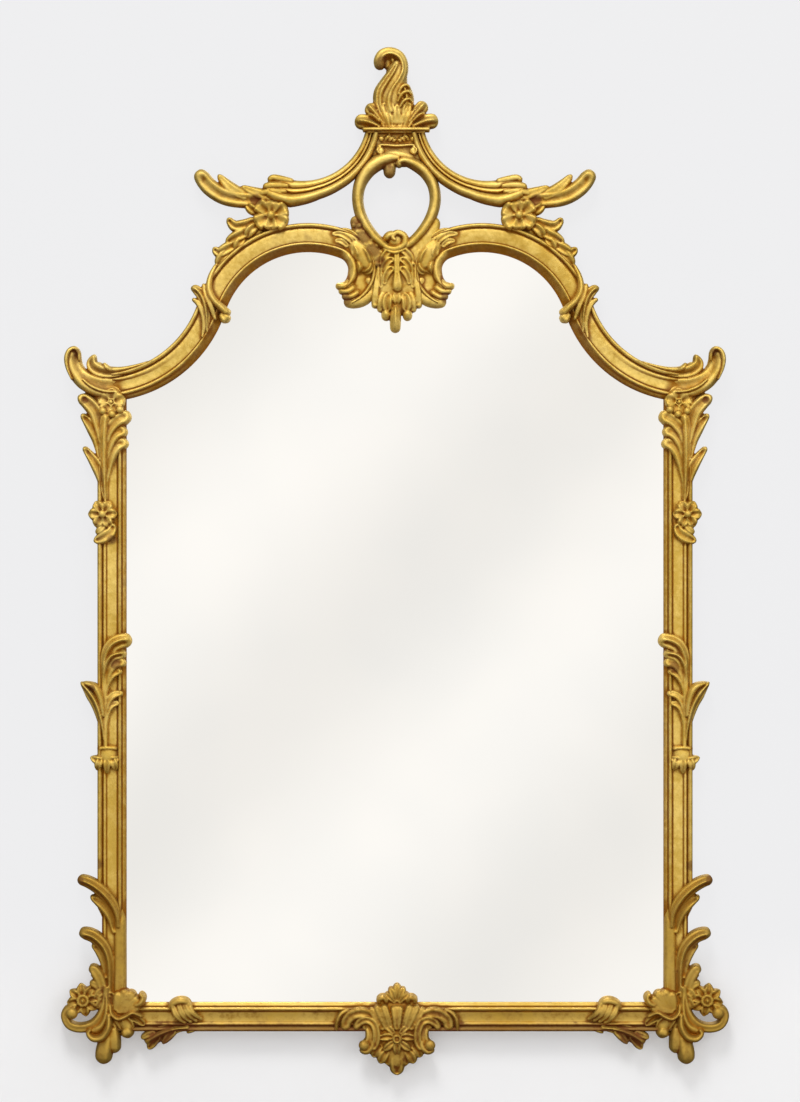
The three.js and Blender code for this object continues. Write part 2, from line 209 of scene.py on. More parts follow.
def ring(bm, u, v, radius, half, front):
    line = []
    for k in range(360 // RING_STEP + 2):
        angle = math.radians(RING_STEP * k)
        line.append((u + radius * math.cos(angle), v + radius * math.sin(angle), half, front))
    stroke(bm, line, back=front - RING_DEPTH, tips=(0.4, 0.4), around=RING_SIDES)


print("balls, flowers and rings are ready")

# %% [markdown]
# The uprights, the bottom rail and the ogee top are planed and scraped to a section. Each point
# of it is a distance in from the outer edge, a height off the wall and a tone: 0 in the grooves,
# where dirt and red clay gather, 1 on the rubbed crowns. The uprights have an outer bead, a
# fillet, a sunk flat, an inner bead and a lip over the glass; at the foot the outer bead is left
# out. On the arch the flat is wider and the lip is one broad slope; on the scroll at its end both
# edges swell to round rims, and the part of the scroll that lies over the plate has no rebate:
# its back rests on the glass. All five have the same number of points, so that one can pass into
# the next.

# %% The rail's sections
RAIL_WIDTH = 29.0
UPRIGHT_FACE = [
    (0.0, 12.5, 0.35), (0.0, 14.4, 0.4), (0.35, 16.6, 0.55), (1.1, 18.3, 0.75), (2.2, 19.0, 0.9),
    (3.3, 18.5, 0.75), (4.2, 17.2, 0.5), (4.8, 15.9, 0.2), (5.3, 15.3, 0.0), (5.8, 15.6, 0.1),
    (6.4, 16.7, 0.5), (7.2, 17.3, 0.75), (8.1, 17.1, 0.6), (8.9, 16.2, 0.3), (9.6, 15.5, 0.15),
    (10.6, 15.3, 0.55), (12.2, 15.1, 0.72), (14.5, 15.0, 0.78), (16.8, 15.2, 0.72),
    (18.7, 15.5, 0.55), (19.6, 15.3, 0.15), (20.2, 15.2, 0.0), (20.7, 16.0, 0.2), (21.1, 17.5, 0.6),
    (21.8, 18.7, 0.85), (22.7, 19.0, 0.9), (23.5, 18.4, 0.65), (24.0, 17.1, 0.35),
    (24.4, 15.7, 0.05), (24.9, 15.2, 0.0), (25.5, 15.4, 0.3), (26.4, 15.2, 0.42),
    (27.4, 14.3, 0.38), (28.3, 13.0, 0.35), (29.0, 11.4, 0.3),
]
ARCH_FACE = [
    (0.0, 12.5, 0.35), (0.0, 14.4, 0.4), (0.35, 16.8, 0.55), (1.0, 18.6, 0.75), (1.9, 19.4, 0.9),
    (2.9, 19.2, 0.8), (3.8, 18.0, 0.5), (4.4, 16.6, 0.2), (4.9, 15.8, 0.0), (5.5, 15.9, 0.2),
    (6.4, 16.4, 0.5), (7.4, 16.6, 0.5), (8.5, 16.7, 0.5), (9.7, 16.7, 0.5), (11.0, 16.7, 0.5),
    (12.4, 16.7, 0.5), (13.8, 16.6, 0.5), (15.2, 16.5, 0.5), (16.6, 16.4, 0.48), (17.8, 16.3, 0.45),
    (18.6, 16.2, 0.4), (19.1, 16.0, 0.05), (19.5, 16.5, 0.15), (20.0, 17.4, 0.6),
    (20.6, 17.8, 0.75), (21.2, 17.6, 0.5), (21.9, 16.9, 0.36), (22.7, 16.0, 0.33),
    (23.6, 15.1, 0.31), (24.6, 14.2, 0.3), (25.6, 13.4, 0.28), (26.6, 12.6, 0.26),
    (27.6, 11.9, 0.22), (28.4, 11.4, 0.15), (29.0, 11.2, 0.1),
]
SCROLL_FACE = [
    (0.0, 12.5, 0.35), (0.0, 14.4, 0.4), (0.35, 16.8, 0.55), (1.0, 18.6, 0.75), (1.9, 19.5, 0.9),
    (2.9, 19.3, 0.8), (3.8, 18.1, 0.5), (4.4, 16.7, 0.2), (4.9, 15.6, 0.0), (5.5, 15.3, 0.2),
    (6.4, 15.2, 0.45), (7.4, 15.1, 0.55), (8.5, 15.0, 0.6), (9.7, 15.0, 0.62), (11.0, 15.0, 0.62),
    (12.4, 15.0, 0.62), (13.8, 15.0, 0.62), (15.2, 15.1, 0.6), (16.6, 15.2, 0.55),
    (17.6, 15.3, 0.4), (18.3, 15.4, 0.1), (18.8, 15.8, 0.0), (19.4, 17.0, 0.3), (20.2, 18.7, 0.6),
    (21.2, 20.0, 0.85), (22.4, 20.6, 0.9), (23.6, 20.3, 0.8), (24.7, 19.4, 0.65), (25.6, 18.2, 0.5),
    (26.4, 16.9, 0.4), (27.1, 15.6, 0.35), (27.8, 14.2, 0.32), (28.4, 13.0, 0.3),
    (28.8, 12.0, 0.28), (29.0, 11.0, 0.25),
]
REBATE = [(29.0, 10.6, 0.3), (22.7, 10.6, 0.2), (22.7, 0.0, 0.3), (0.0, 0.0, 0.3)]
BEAD_WIDTH, BEAD_FOOT = 4.6, 15.3
FOOT_FACE = [
    (max(inward, BEAD_WIDTH), min(depth, BEAD_FOOT) if inward < BEAD_WIDTH else depth, tone)
    for inward, depth, tone in UPRIGHT_FACE
]
FOOT_REBATE = REBATE[:-1] + [(BEAD_WIDTH, 0.0, 0.3)]
FOOT, UPRIGHT, ARCH, SCROLL, OVER_PLATE = range(5)
rail_sections = [np.array(face + REBATE) for face in (UPRIGHT_FACE, ARCH_FACE, SCROLL_FACE)]
rail_sections.insert(0, np.array(FOOT_FACE + FOOT_REBATE))
PLATE_FRONT, SUNK_IN = 11.0, 0.5
over_plate = rail_sections[SCROLL].copy()
over_plate[-len(REBATE):, 1] = PLATE_FRONT - SUNK_IN
rail_sections.append(over_plate)
print("each rail section has", len(rail_sections[0]), "points")

# %% [markdown]
# `mould` runs a section along a row of stations, as a plane runs along a rail. The section
# starts as a circle with one vertex for each point; each step extrudes that ring to the next
# station. A vertex layer remembers which point of the section a vertex is, because extrude
# copies it. A station is the outer edge's place, the way in to the glass, a share of the full
# depth, and the form: a whole number picks one section, a part of one blends it into the next.

# %% Running a moulding
def mould(bm, sections, stations):
    part = bmesh.new()
    which = part.verts.layers.int.new("which")
    tone = part.verts.layers.float.new("tone")

    def place(verts, station):
        u, v, in_u, in_v, deep, form = station
        low = int(form)
        section = sections[low]
        if form > low:
            section = section + (form - low) * (sections[low + 1] - section)
        for vert in verts:
            inward, depth, shade = section[vert[which]]
            vert.co = spot(u + in_u * inward, v + in_v * inward, depth * deep)
            vert[tone] = shade

    ring_verts = bmesh.ops.create_circle(part, segments=len(sections[0]), radius=1)["verts"]
    for k, vert in enumerate(ring_verts):
        vert[which] = k
    place(ring_verts, stations[0])
    edges = list(dict.fromkeys(edge for vert in ring_verts for edge in vert.link_edges))
    first = edges
    for station in stations[1:]:
        grown = bmesh.ops.extrude_edge_only(part, edges=edges)["geom"]
        ring_verts = {g for g in grown if isinstance(g, bmesh.types.BMVert)}
        edges = [
            g for g in grown if isinstance(g, bmesh.types.BMEdge) and set(g.verts) <= ring_verts
        ]
        place(ring_verts, station)
    for loop in (first, edges):
        bmesh.ops.contextual_create(part, geom=loop)
    join(bm, part)


print("mould is ready")

# %% [markdown]
# The two uprights and the bottom rail are one run with mitred corners: at a corner the way in
# is the diagonal, which is longer by the square root of two. Near the foot the outer bead is
# cut back, where the leaves of the foot take its place.

# %% Uprights and bottom rail
OUTER_LEFT, OUTER_RIGHT = 97.0, 693.0
UPRIGHT_TOP, OUTER_FOOT = 396.0, 1032.0
STEP = 3.0
MITRE_GAP = 1.0
FOOT_STEP, FOOT_BLEND = 908.0, 9.0


def lower_run():
    foot = OUTER_FOOT - RAIL_WIDTH - MITRE_GAP
    down = np.linspace(UPRIGHT_TOP, foot, round((foot - UPRIGHT_TOP) / STEP))
    forms = UPRIGHT + (FOOT - UPRIGHT) * np.clip((down - FOOT_STEP) / FOOT_BLEND, 0, 1)
    left, right = OUTER_LEFT + RAIL_WIDTH + MITRE_GAP, OUTER_RIGHT - RAIL_WIDTH - MITRE_GAP
    along = np.linspace(left, right, round((right - left) / STEP))
    run = [(OUTER_LEFT, v, 1, 0, 1, form) for v, form in zip(down, forms)]
    run += [(OUTER_LEFT, OUTER_FOOT, 1, -1, 1, UPRIGHT)]
    run += [(u, OUTER_FOOT, 0, -1, 1, UPRIGHT) for u in along]
    run += [(OUTER_RIGHT, OUTER_FOOT, -1, -1, 1, UPRIGHT)]
    run += [(OUTER_RIGHT, v, -1, 0, 1, form) for v, form in zip(down[::-1], forms[::-1])]
    return run


mouldings = bmesh.new()
mould(mouldings, rail_sections, lower_run())
print("lower run:", len(mouldings.faces), "faces")

# %% [markdown]
# The ogee top of each half is three arcs in one run: a hollow sweep up from the shoulder, the
# round arch, and a tight scroll that turns down beside the centre and narrows to its tip. The
# arcs touch without a kink because their centres lie in line with the joining points. The scroll
# comes in three stretches: the first still has the rebate, the other two lie over the plate.

# %% Ogee rails
ARCH_U, ARCH_V, ARCH_RADIUS = 308.0, 339.0, 102.0
SWEEP_U, SWEEP_V = 100.5, 270.5
SWEEP_RADIUS = math.hypot(SWEEP_U - ARCH_U, SWEEP_V - ARCH_V) - ARCH_RADIUS
JOIN_ANGLE = math.degrees(math.atan2(ARCH_V - SWEEP_V, SWEEP_U - ARCH_U))
SCROLL_ANGLE, SCROLL_RADIUS = 68.7, 27.0
SWEEP_START = -84
HALF_RAIL = RAIL_WIDTH / 2
ARC_STEP, FEWEST_STATIONS = 2, 6
SHEET_MIDDLE = -SHEET_LEFT
SCROLL_U = ARCH_U + (ARCH_RADIUS - SCROLL_RADIUS) * math.cos(math.radians(SCROLL_ANGLE))
SCROLL_V = ARCH_V - (ARCH_RADIUS - SCROLL_RADIUS) * math.sin(math.radians(SCROLL_ANGLE))


def arc(centre_u, centre_v, radius, start, stop, side=-1, half=(HALF_RAIL, HALF_RAIL), deep=(1, 1),
        forms=(ARCH, ARCH)):
    swept = abs(math.radians(stop - start)) * radius
    for share in np.linspace(0, 1, max(FEWEST_STATIONS, round(swept / ARC_STEP))):
        angle = math.radians(start + (stop - start) * share)
        ray_u, ray_v = math.cos(angle), -math.sin(angle)
        wide = half[0] + (half[1] - half[0]) * share
        outer = radius - side * wide
        scale = side * 2 * wide / RAIL_WIDTH
        depth = deep[0] + (deep[1] - deep[0]) * share
        form = forms[0] + (forms[1] - forms[0]) * min(1.0, CHANGE_RATE * share)
        edge_u, edge_v = centre_u + ray_u * outer, centre_v + ray_v * outer
        yield edge_u, edge_v, ray_u * scale, ray_v * scale, depth, form


def mirrored(run):
    return [(2 * SHEET_MIDDLE - u, v, -in_u, *rest) for u, v, in_u, *rest in run]


ogee = list(arc(SWEEP_U, SWEEP_V, SWEEP_RADIUS, SWEEP_START, JOIN_ANGLE - 180, side=1,
                forms=(UPRIGHT, ARCH)))
ogee += list(arc(ARCH_U, ARCH_V, ARCH_RADIUS, JOIN_ANGLE, SCROLL_ANGLE))[1:]
for start, stop, half, deep, forms in [
    (SCROLL_ANGLE, 34, (HALF_RAIL, 14.4), (1, 1.04), (ARCH, SCROLL)),
    (34, -15, (14.4, 14.2), (1.04, 1.1), (OVER_PLATE, OVER_PLATE)),
    (-15, -64, (14.2, 11.8), (1.1, 1.15), (OVER_PLATE, OVER_PLATE)),
]:
    turn = arc(SCROLL_U, SCROLL_V, SCROLL_RADIUS, start, stop, half=half, deep=deep, forms=forms)
    ogee += list(turn)[1:]
for run in (ogee, mirrored(ogee)):
    mould(mouldings, rail_sections, run)
print("with both ogee rails:", len(mouldings.faces), "faces")

# %% [markdown]
# The arms that sweep from the crest over each arch have a section of their own: two soft
# ridges along the top edge and a large roll below. The section is given in shares of the arm's
# thickness, which swells towards its outer end.

# %% Crest arms
ARM_SECTION = np.array([
    (0.0, 5, 0.3), (0.0, 13.5, 0.35), (0.03, 16.2, 0.5), (0.08, 18.2, 0.65), (0.14, 19.6, 0.8),
    (0.2, 20.0, 0.9), (0.255, 19.4, 0.7), (0.29, 18.3, 0.3), (0.315, 17.9, 0.1), (0.345, 18.8, 0.5),
    (0.385, 20.0, 0.85), (0.43, 20.2, 0.85), (0.465, 19.2, 0.5), (0.495, 17.4, 0.05),
    (0.525, 17.6, 0.15), (0.56, 20.0, 0.5), (0.61, 22.6, 0.7), (0.67, 24.4, 0.85),
    (0.74, 25.0, 0.9), (0.82, 24.4, 0.7), (0.89, 22.4, 0.5), (0.945, 19.2, 0.4),
    (0.985, 15.0, 0.35), (1.0, 11.0, 0.3), (0.985, 7.5, 0.3), (0.94, 5, 0.3),
])
ARM_U, ARM_V, ARM_RADIUS = 302.5, 115.7, 64.5
ARM_ANGLES = [-24, -8, -2, 12, 27, 42, 60, 77]
ARM_THICKNESS = [26.5, 27.5, 25, 20, 18, 17, 16, 15]
ARM_STATIONS = 64


def arm_run():
    for angle in np.linspace(ARM_ANGLES[0], ARM_ANGLES[-1], ARM_STATIONS):
        down_u, down_v = math.sin(math.radians(angle)), math.cos(math.radians(angle))
        thick = np.interp(angle, ARM_ANGLES, ARM_THICKNESS)
        edge_u, edge_v = ARM_U + ARM_RADIUS * down_u, ARM_V + ARM_RADIUS * down_v
        yield edge_u, edge_v, down_u * thick, down_v * thick, 1, 0


left_arm = list(arm_run())
for run in (left_arm, mirrored(left_arm)):
    mould(mouldings, [ARM_SECTION], run)
bmesh.ops.recalc_face_normals(mouldings, faces=mouldings.faces)
print("all mouldings:", len(mouldings.faces), "faces")

# %% [markdown]
# At each shoulder the ogee rail runs out in two curls: its body turns up in a heavy fluted
# scroll, and its top bead in a smaller leaf. They are strokes whose first points lie along the
# rail, so that they grow out of it.

# %% Shoulder curls
def shoulder(bm):
    big = [(126, 385.4, 8.6, 12), (117, 387.4, 9.6, 16.8), (108, 388.2, 10.4, 20),
           (97, 386.5, 10.2, 23), (84, 380, 9.6, 25.5), (75.5, 370, 9, 26),
           (72.5, 359.5, 8.6, 25.5), (74.2, 347.5, 7, 23.5)]
    stroke(bm, big, back=5, hollow=0.26, lean=-0.35, tips=(0.3, 1.1), round_off=(6, 2.1))
    rim = [(72, 380, 1, 25), (67.5, 368, 2, 27), (66.6, 358, 2.8, 28.2), (69.4, 350.6, 2.8, 27.6),
           (74.8, 348.4, 2.6, 26), (78.8, 353, 2.2, 24.8), (79.4, 361, 1.2, 23.5)]
    stroke(bm, rim, back=14)
    small = [(150, 361.5, 2, 16.5), (134, 367.5, 3.6, 20), (120, 371.3, 5.2, 22.5),
             (107, 372, 6.8, 24.5), (97, 369, 7.8, 26), (91.8, 363, 6.4, 25.5),
             (94.4, 353.8, 2, 22.5)]
    stroke(bm, small, back=6, hollow=0.36, lean=0.25, tips=(1.4, 1.8))
    strokes(bm, [
        [(118, 391.5, 1.6, 20.5), (104, 391, 2.2, 23.6), (91, 386, 2.2, 25.2),
         (82, 378.5, 1.4, 25)],
        [(112, 395, 1.4, 18.5), (100, 393.5, 2, 21.5), (88, 388.5, 1.6, 23)],
        [(113, 370.5, 2.2, 21), (107, 367.5, 3, 24), (103.4, 362.5, 1.4, 21)],
    ], back=12)


print("shoulder curls drawn")

# %% [markdown]
# Under each shoulder a spray of leaves climbs the upright: a flower cluster at its top, long
# gouged leaves to the left that stand free of the rail's edge, and short curled leaves to the
# right that end at the glass. The stem thins out downwards to a single flower.

# %% Upper spray
def upper_spray(bm):
    stroke(bm, [(92, 396, 7, 16), (106, 399, 13, 16.5), (122, 404, 9, 15)], back=6)
    stem = [(105.5, 512, 2.4, 18), (104.5, 482, 4.2, 21), (104, 455, 6.4, 24),
            (104.5, 430, 7, 25.5), (106, 412, 6, 25)]
    stroke(bm, stem, back=8, hollow=0.2, flutes=2)
    strokes(bm, [
        [(102, 446, 4, 21), (100, 428, 7, 25), (95.5, 412.5, 8, 27.5), (87.5, 402.5, 7.4, 28),
         (77.5, 395.5, 5.2, 24.5)],
        [(101.5, 462, 3.6, 20), (98, 441, 6.4, 24), (92, 428, 6.6, 26), (81, 413.5, 3, 23.5)],
        [(104.5, 500, 2.4, 18), (101.5, 480, 5.2, 22), (95.5, 464, 6.2, 25),
         (83, 446.5, 2.8, 22.5)],
    ], back=7, hollow=0.4, lean=-0.15, tips=(1, 1.2))
    strokes(bm, [
        [(104.5, 454, 2, 19), (107.4, 434, 6, 25), (115, 423, 6.8, 26.5), (124, 417.5, 7.4, 26.5),
         (131, 417, 6.6, 23.5)],
        [(104.5, 468, 2, 18.5), (108.4, 445, 6.4, 24.5), (116, 434, 6.6, 25.5),
         (127, 430, 5.8, 22.5)],
        [(105, 488, 1.6, 17), (109.4, 459, 6.4, 23.5), (117, 446, 6.6, 24.5),
         (128, 442, 5.4, 21.5)],
    ], back=PLATE_FRONT, hollow=0.36, lean=0.2, tips=(1, 0.9))
    flower(bm, 111, 402, 14.6, 26, 5, turn=-15, width=0.54, boss=0.14, cup=0.4, droop=2.2)
    for u, v in ((103, 411), (120, 409.5), (112, 414)):
        ball(bm, u, v, 3.6, 25.5)


def upright_flower(bm):
    flower(bm, 102.5, 514, 15, 27.5, 6, turn=0, width=0.4, boss=0.24, cup=0.4, droop=3.5, point=1.3)
    stroke(bm, [(101, 520, 6, 19), (104, 531, 7, 21)], back=8)
    stroke(bm, [(114, 523, 3, 21), (110.5, 532, 6.4, 25), (103, 537.5, 7, 26),
                (93, 541.5, 3.2, 22)],
           back=7, hollow=0.34, tips=(1, 1.2))
    stroke(bm, [(105, 524, 3, 23), (100, 530, 4.4, 25), (95, 533, 2.4, 22)], back=8, hollow=0.2)


print("upper spray drawn")

# %% [markdown]
# Half way down, a second spray grows from a bud: six hooked leaves over the rail, one broad leaf
# to the left with a narrow one lying over it, and a small collar of petals at its root.

# %% Middle spray
def middle_spray(bm):
    stem = [(105.5, 752, 3, 20), (105, 725, 3.2, 21), (104.5, 700, 3.8, 22), (104.5, 676, 4, 22),
            (106, 656, 3, 20)]
    stroke(bm, stem, back=8, hollow=0.12)
    strokes(bm, [
        [(104.5, 680, 3, 20), (105, 662, 6, 24), (111, 647.5, 8, 27), (121, 641.4, 8.2, 27),
         (131.5, 641, 6.6, 23.5)],
        [(104, 687, 3, 20), (105.5, 669, 5.4, 24), (112, 656.8, 6.2, 26), (126, 653, 5.2, 22.5)],
    ], back=PLATE_FRONT, hollow=0.3, flutes=2, lean=0.2, tips=(1, 0.9))
    strokes(bm, [
        [(104.2, 693, 2.8, 20), (107, 676, 5, 23), (114, 665, 5.6, 24.5), (126, 662, 4.8, 21.5)],
        [(104.5, 700, 2.4, 19), (106.5, 685, 4, 22.5), (112.5, 675, 4.4, 24),
         (122, 670.5, 3.4, 21)],
        [(104.8, 718, 2.4, 19), (107, 704, 4, 22.5), (113, 695.5, 4.4, 23.5),
         (123, 693, 3.2, 20.5)],
        [(105, 730, 2.2, 19), (106.6, 715, 3.6, 21.5), (111, 706, 4, 22.5), (120, 702.5, 3, 19.5)],
    ], back=PLATE_FRONT, hollow=0.3, lean=0.2, tips=(1, 0.9))
    leaf = [(104.5, 742, 2.2, 19), (102, 722, 5.2, 23), (97.5, 705, 7, 25), (90.5, 692.5, 7, 25),
            (80, 682, 1.6, 22)]
    stroke(bm, leaf, back=7, hollow=0.3, flutes=2, lean=0.1, tips=(1, 2.4))
    stroke(bm, [(103.5, 718, 2.2, 22), (100.5, 699, 4, 26), (95, 687.5, 4.4, 26.5),
                (82.5, 682.2, 1.6, 23)], back=9, tips=(1, 2))


def bud_collar(bm):
    stroke(bm, [(107.5, 745, 9.5, 18.5), (107.5, 757, 11, 20.5), (107.5, 768, 8, 19)],
           back=8, tips=(0.4, 0.8))
    stroke(bm, [(96.5, 749, 2.8, 18.5), (107, 748, 3.2, 20.5), (118, 749, 2.8, 18.5)], back=8)
    stroke(bm, [(106, 761.5, 3.4, 22), (97.5, 760.5, 5.2, 25), (89.5, 757.5, 2.2, 21)],
           back=7, hollow=0.34, tips=(1, 1.8))
    stroke(bm, [(107, 761.5, 3.4, 22), (113.5, 760, 4.8, 25), (120.5, 757.5, 2.2, 21)],
           back=8, hollow=0.34, tips=(1, 1.8))
    for u, foot, lean in [(98.5, 771, -2), (106.8, 774.5, 0), (114, 771.5, 2)]:
        stroke(bm, [(u - lean, 757, 3, 22), (u, 764, 4.8, 25.5), (u + lean, foot, 2.6, 20)],
               back=8, hollow=0.3, tips=(1, 1.4))


print("middle spray drawn")

# %% [markdown]
# The foot of each upright is two long leaves that grow up from the corner and curl out over
# the rail's edge, with a small knobbed shoot below. The first leaf's plain stalk covers the
# inner half of the moulding down to the corner.

# %% Foot leaves
def foot_leaves(bm):
    stalk = [(119.5, 1000, 6.6, 19.4), (119.5, 960, 6.6, 19.6), (119.5, 928, 6.4, 19.2),
             (119.6, 914, 5.6, 16.5), (121.5, 899, 1.6, 13)]
    stroke(bm, stalk, back=8, round_off=(4, 3), tips=(0.3, 1.6))
    upper = [(118.5, 930, 4, 20), (116, 913, 6, 24.5), (108.5, 899, 6.8, 27.5),
             (98, 888.5, 6.8, 28.5), (87, 882, 6.4, 27.5), (76.8, 879.5, 5.4, 24.5)]
    stroke(bm, upper, back=7, hollow=0.24, flutes=2, tips=(0.8, 1))
    stroke(bm, [(114.5, 935, 3, 20), (111, 918, 5.6, 23.5), (103.5, 906.5, 6.2, 25),
                (90, 896, 3.2, 22)],
           back=7, hollow=0.3, lean=-0.2, tips=(1, 1.4))
    lower = [(109, 1000, 4.4, 21), (109.5, 978, 5, 23), (108.5, 960, 6, 25.5),
             (103.5, 946.5, 7, 27.5), (94.5, 937.5, 7.2, 28), (85.5, 934, 6.8, 27),
             (78.4, 934.5, 5.2, 24)]
    stroke(bm, lower, back=7, hollow=0.24, flutes=2, tips=(0.8, 1))
    stroke(bm, [(106.5, 980, 2.6, 20), (104, 963, 4.8, 23), (99, 952, 4.8, 24),
                (91.5, 944.5, 2.6, 21)],
           back=7, hollow=0.26, tips=(1, 1.3))
    shoot = [(104, 1000, 4.5, 22), (102, 987, 6, 24), (98.5, 977, 6.8, 25.5),
             (93.5, 970.5, 6.6, 25.5), (88, 970, 5.4, 23)]
    stroke(bm, shoot, back=7, hollow=0.22)
    strokes(bm, [
        [(103, 992, 4, 22), (96.5, 985.5, 5, 24), (89, 983, 3.6, 22)],
        [(104, 997, 4, 22), (98, 993, 4.6, 24), (93, 990, 3.2, 22)],
    ], back=7, hollow=0.2)


print("foot leaves drawn")

# %% [markdown]
# The lower corners are the richest part: an open volute with a ball in its eye, a daisy over
# it, a rolled scroll beside it, a ribbed shell towards the glass with a fan of leaves under it,
# and three drops. The daisy's petals are pointed, so its tips run out over a longer distance.

# %% Lower corners
RIB_U, RIB_V = 115, 1012


def corner(bm):
    flower(bm, 83, 1000.5, 17, 27, 8, turn=-10, width=0.31, boss=0.12, cup=0.42, droop=3, point=2.4,
           back=8)
    flower(bm, 83, 1000.5, 8, 28, 8, turn=12, width=0.34, boss=0.16, cup=0.2, droop=2, point=1.8)
    strokes(bm, [
        [(106, 989, 4, 23), (99, 993.5, 5.4, 25.5), (95, 1001, 3.6, 24)],
        [(106, 998, 4, 23), (100, 1002.5, 4.6, 25), (97, 1009, 3, 23)],
    ], back=8, hollow=0.3)
    volute = [(106, 986, 4, 23), (105.5, 1001, 4.8, 25), (101.5, 1015, 5.4, 25),
              (93, 1025, 5.6, 25), (80.5, 1028.5, 5.4, 25), (69.5, 1025.5, 5.2, 25),
              (65, 1016.5, 5, 25), (68.5, 1009.5, 4.6, 24.5), (74, 1011, 3.8, 24)]
    stroke(bm, volute, back=6, hollow=0.2, lean=0.1, tips=(0.6, 1))
    ball(bm, 72, 1013.2, 6, 26.5)
    scroll = [(107, 985, 4.5, 24), (109, 1002, 5.6, 27), (108.5, 1016, 6.6, 28),
              (104.5, 1027, 8, 28), (97, 1033.2, 9.4, 27), (87.2, 1033, 7.8, 24.5)]
    stroke(bm, scroll, back=6, hollow=0.34, lean=0.3, tips=(0.6, 1.0))
    curl = [(109, 1012, 2.8, 28), (109, 1026, 3.6, 30.5), (103, 1036.5, 4, 30.5),
            (94, 1038.6, 3.8, 29.5), (88.6, 1033.5, 3, 28), (91.5, 1028, 2, 27)]
    stroke(bm, curl, back=14)
    for tip_u, tip_v, wide in [
        (119.5, 991, 6), (127, 989.5, 6.2), (134.5, 992, 6.2), (140, 998.5, 6), (140, 1007, 5),
    ]:
        middle_u, middle_v = (RIB_U + tip_u) / 2, (RIB_V + tip_v) / 2
        rib = [(RIB_U, RIB_V, 3, 23), (middle_u, middle_v, 5.6, 25.5), (tip_u, tip_v, wide, 26)]
        stroke(bm, rib, back=PLATE_FRONT, hollow=0.14, tips=(1, 0.8))
    stroke(bm, [(133, 1006, 3, 24), (140, 1003.5, 3.6, 27), (143, 997.5, 3.2, 26.5),
                (139, 993, 2.2, 26)],
           back=PLATE_FRONT)
    stroke(bm, [(110.5, 991, 2.5, 24), (112.5, 1002, 5.5, 27), (118, 1011, 6.5, 27),
                (127, 1014, 3, 25)],
           back=8, hollow=0.5, tips=(1, 1))
    rim = [(110, 1003, 2, 24), (111.5, 1013, 2.4, 28), (118, 1018.5, 2.6, 29), (126, 1016, 2.6, 29),
           (133, 1012.5, 2.4, 28), (143, 1017, 1.8, 24)]
    stroke(bm, rim, back=10)


def corner_drops(bm):
    stroke(bm, [(118, 1018, 7, 20), (126, 1026, 8, 21.5), (128, 1034, 6, 21)], back=7)
    strokes(bm, [
        [(112, 1014, 3, 24), (119, 1021, 5.4, 27), (123, 1031, 3, 23)],
        [(120, 1017, 3, 24), (128, 1022, 5, 26), (133, 1030, 3, 23)],
        [(128, 1016, 3, 23), (137, 1019.5, 5, 26), (145, 1026, 3.2, 22)],
        [(108, 1018, 3, 24), (112, 1028, 5.4, 27), (117, 1037, 3.4, 23)],
    ], back=8, hollow=0.44, tips=(1, 1.3))
    stroke(bm, [(124, 1026, 4.5, 23), (127, 1033, 7, 26),
                (128.8, 1039, 6, 24)], back=7, hollow=0.14)
    pear = [(107, 1028, 7.5, 24), (105.5, 1042, 8.4, 27), (103.5, 1054, 9, 28),
            (102.8, 1065, 7.8, 24)]
    stroke(bm, pear, back=7, hollow=0.16, lean=-0.3, tips=(0.6, 0.9))
    stroke(bm, [(112, 1026, 6, 24), (113.6, 1040, 7, 26.5), (114.2, 1054, 6.2, 24)],
           back=7, hollow=0.14, tips=(0.8, 1))


print("corner drawn")

# %% [markdown]
# A ribbon is tied round the bottom rail on each side, in four diagonal strands under one fold,
# and a torn leaf hangs from it below the rail.

# %% Rail ribbon
STRAND_BEND_U, STRAND_BEND_V = -2.4, 1.6


def ribbon(bm):
    fold = [(170.5, 1012, 3, 18), (172, 1005, 4, 22), (178.5, 1001.6, 4.4, 23.5),
            (185.5, 1002, 4, 23), (190, 1006, 2.6, 20)]
    stroke(bm, fold, back=PLATE_FRONT, tips=(1, 1))
    for head_u, head_v, foot_u, foot_v, wide in [
        (172, 1003.5, 186.5, 1024, 3.8), (177.6, 1000.6, 192, 1023.5, 3.8),
        (183, 999.6, 197.5, 1022.5, 3.6), (187.5, 1002, 203, 1020.5, 2.8),
    ]:
        bend_u = (head_u + foot_u) / 2 + STRAND_BEND_U
        bend_v = (head_v + foot_v) / 2 + STRAND_BEND_V
        stroke(bm, [
            (head_u, head_v, 3, 22.5), (bend_u, bend_v, wide, 26.5), (foot_u, foot_v, 1.8, 18.5),
        ], back=PLATE_FRONT, hollow=0.2, tips=(0.9, 1.4))
    body = [(190, 1028, 3, 20), (176, 1029, 5.5, 22), (162, 1033, 8, 24), (151, 1039, 8, 24),
            (145, 1044, 6.5, 22)]
    stroke(bm, body, back=7, hollow=0.46, flutes=2, tips=(1, 0.8))
    stroke(bm, [(176, 1031, 3, 20), (168, 1037, 4.8, 22), (162, 1045, 2.4, 20)],
           back=7, hollow=0.3, tips=(1, 1.8))
    stroke(bm, [(160, 1036, 3, 23), (152, 1044, 4.8, 24.5), (147.5, 1050, 3, 21)],
           back=7, hollow=0.4, tips=(1, 1.1))
    stroke(bm, [(156, 1032, 3, 22), (147, 1035.5, 4, 25),
                (140.5, 1039, 2.6, 22)], back=7, hollow=0.24)
    stroke(bm, [(197, 1029.5, 2, 18), (191, 1031.5, 2.4, 18), (186, 1034, 1.2, 16)],
           back=7, tips=(1, 1.6))


print("ribbon drawn")

# %% [markdown]
# On each arch, a strap of twisted stems is wound round the rail, and a trail of leaves climbs
# from it to a square flower of six petals that fills the space under the arm.

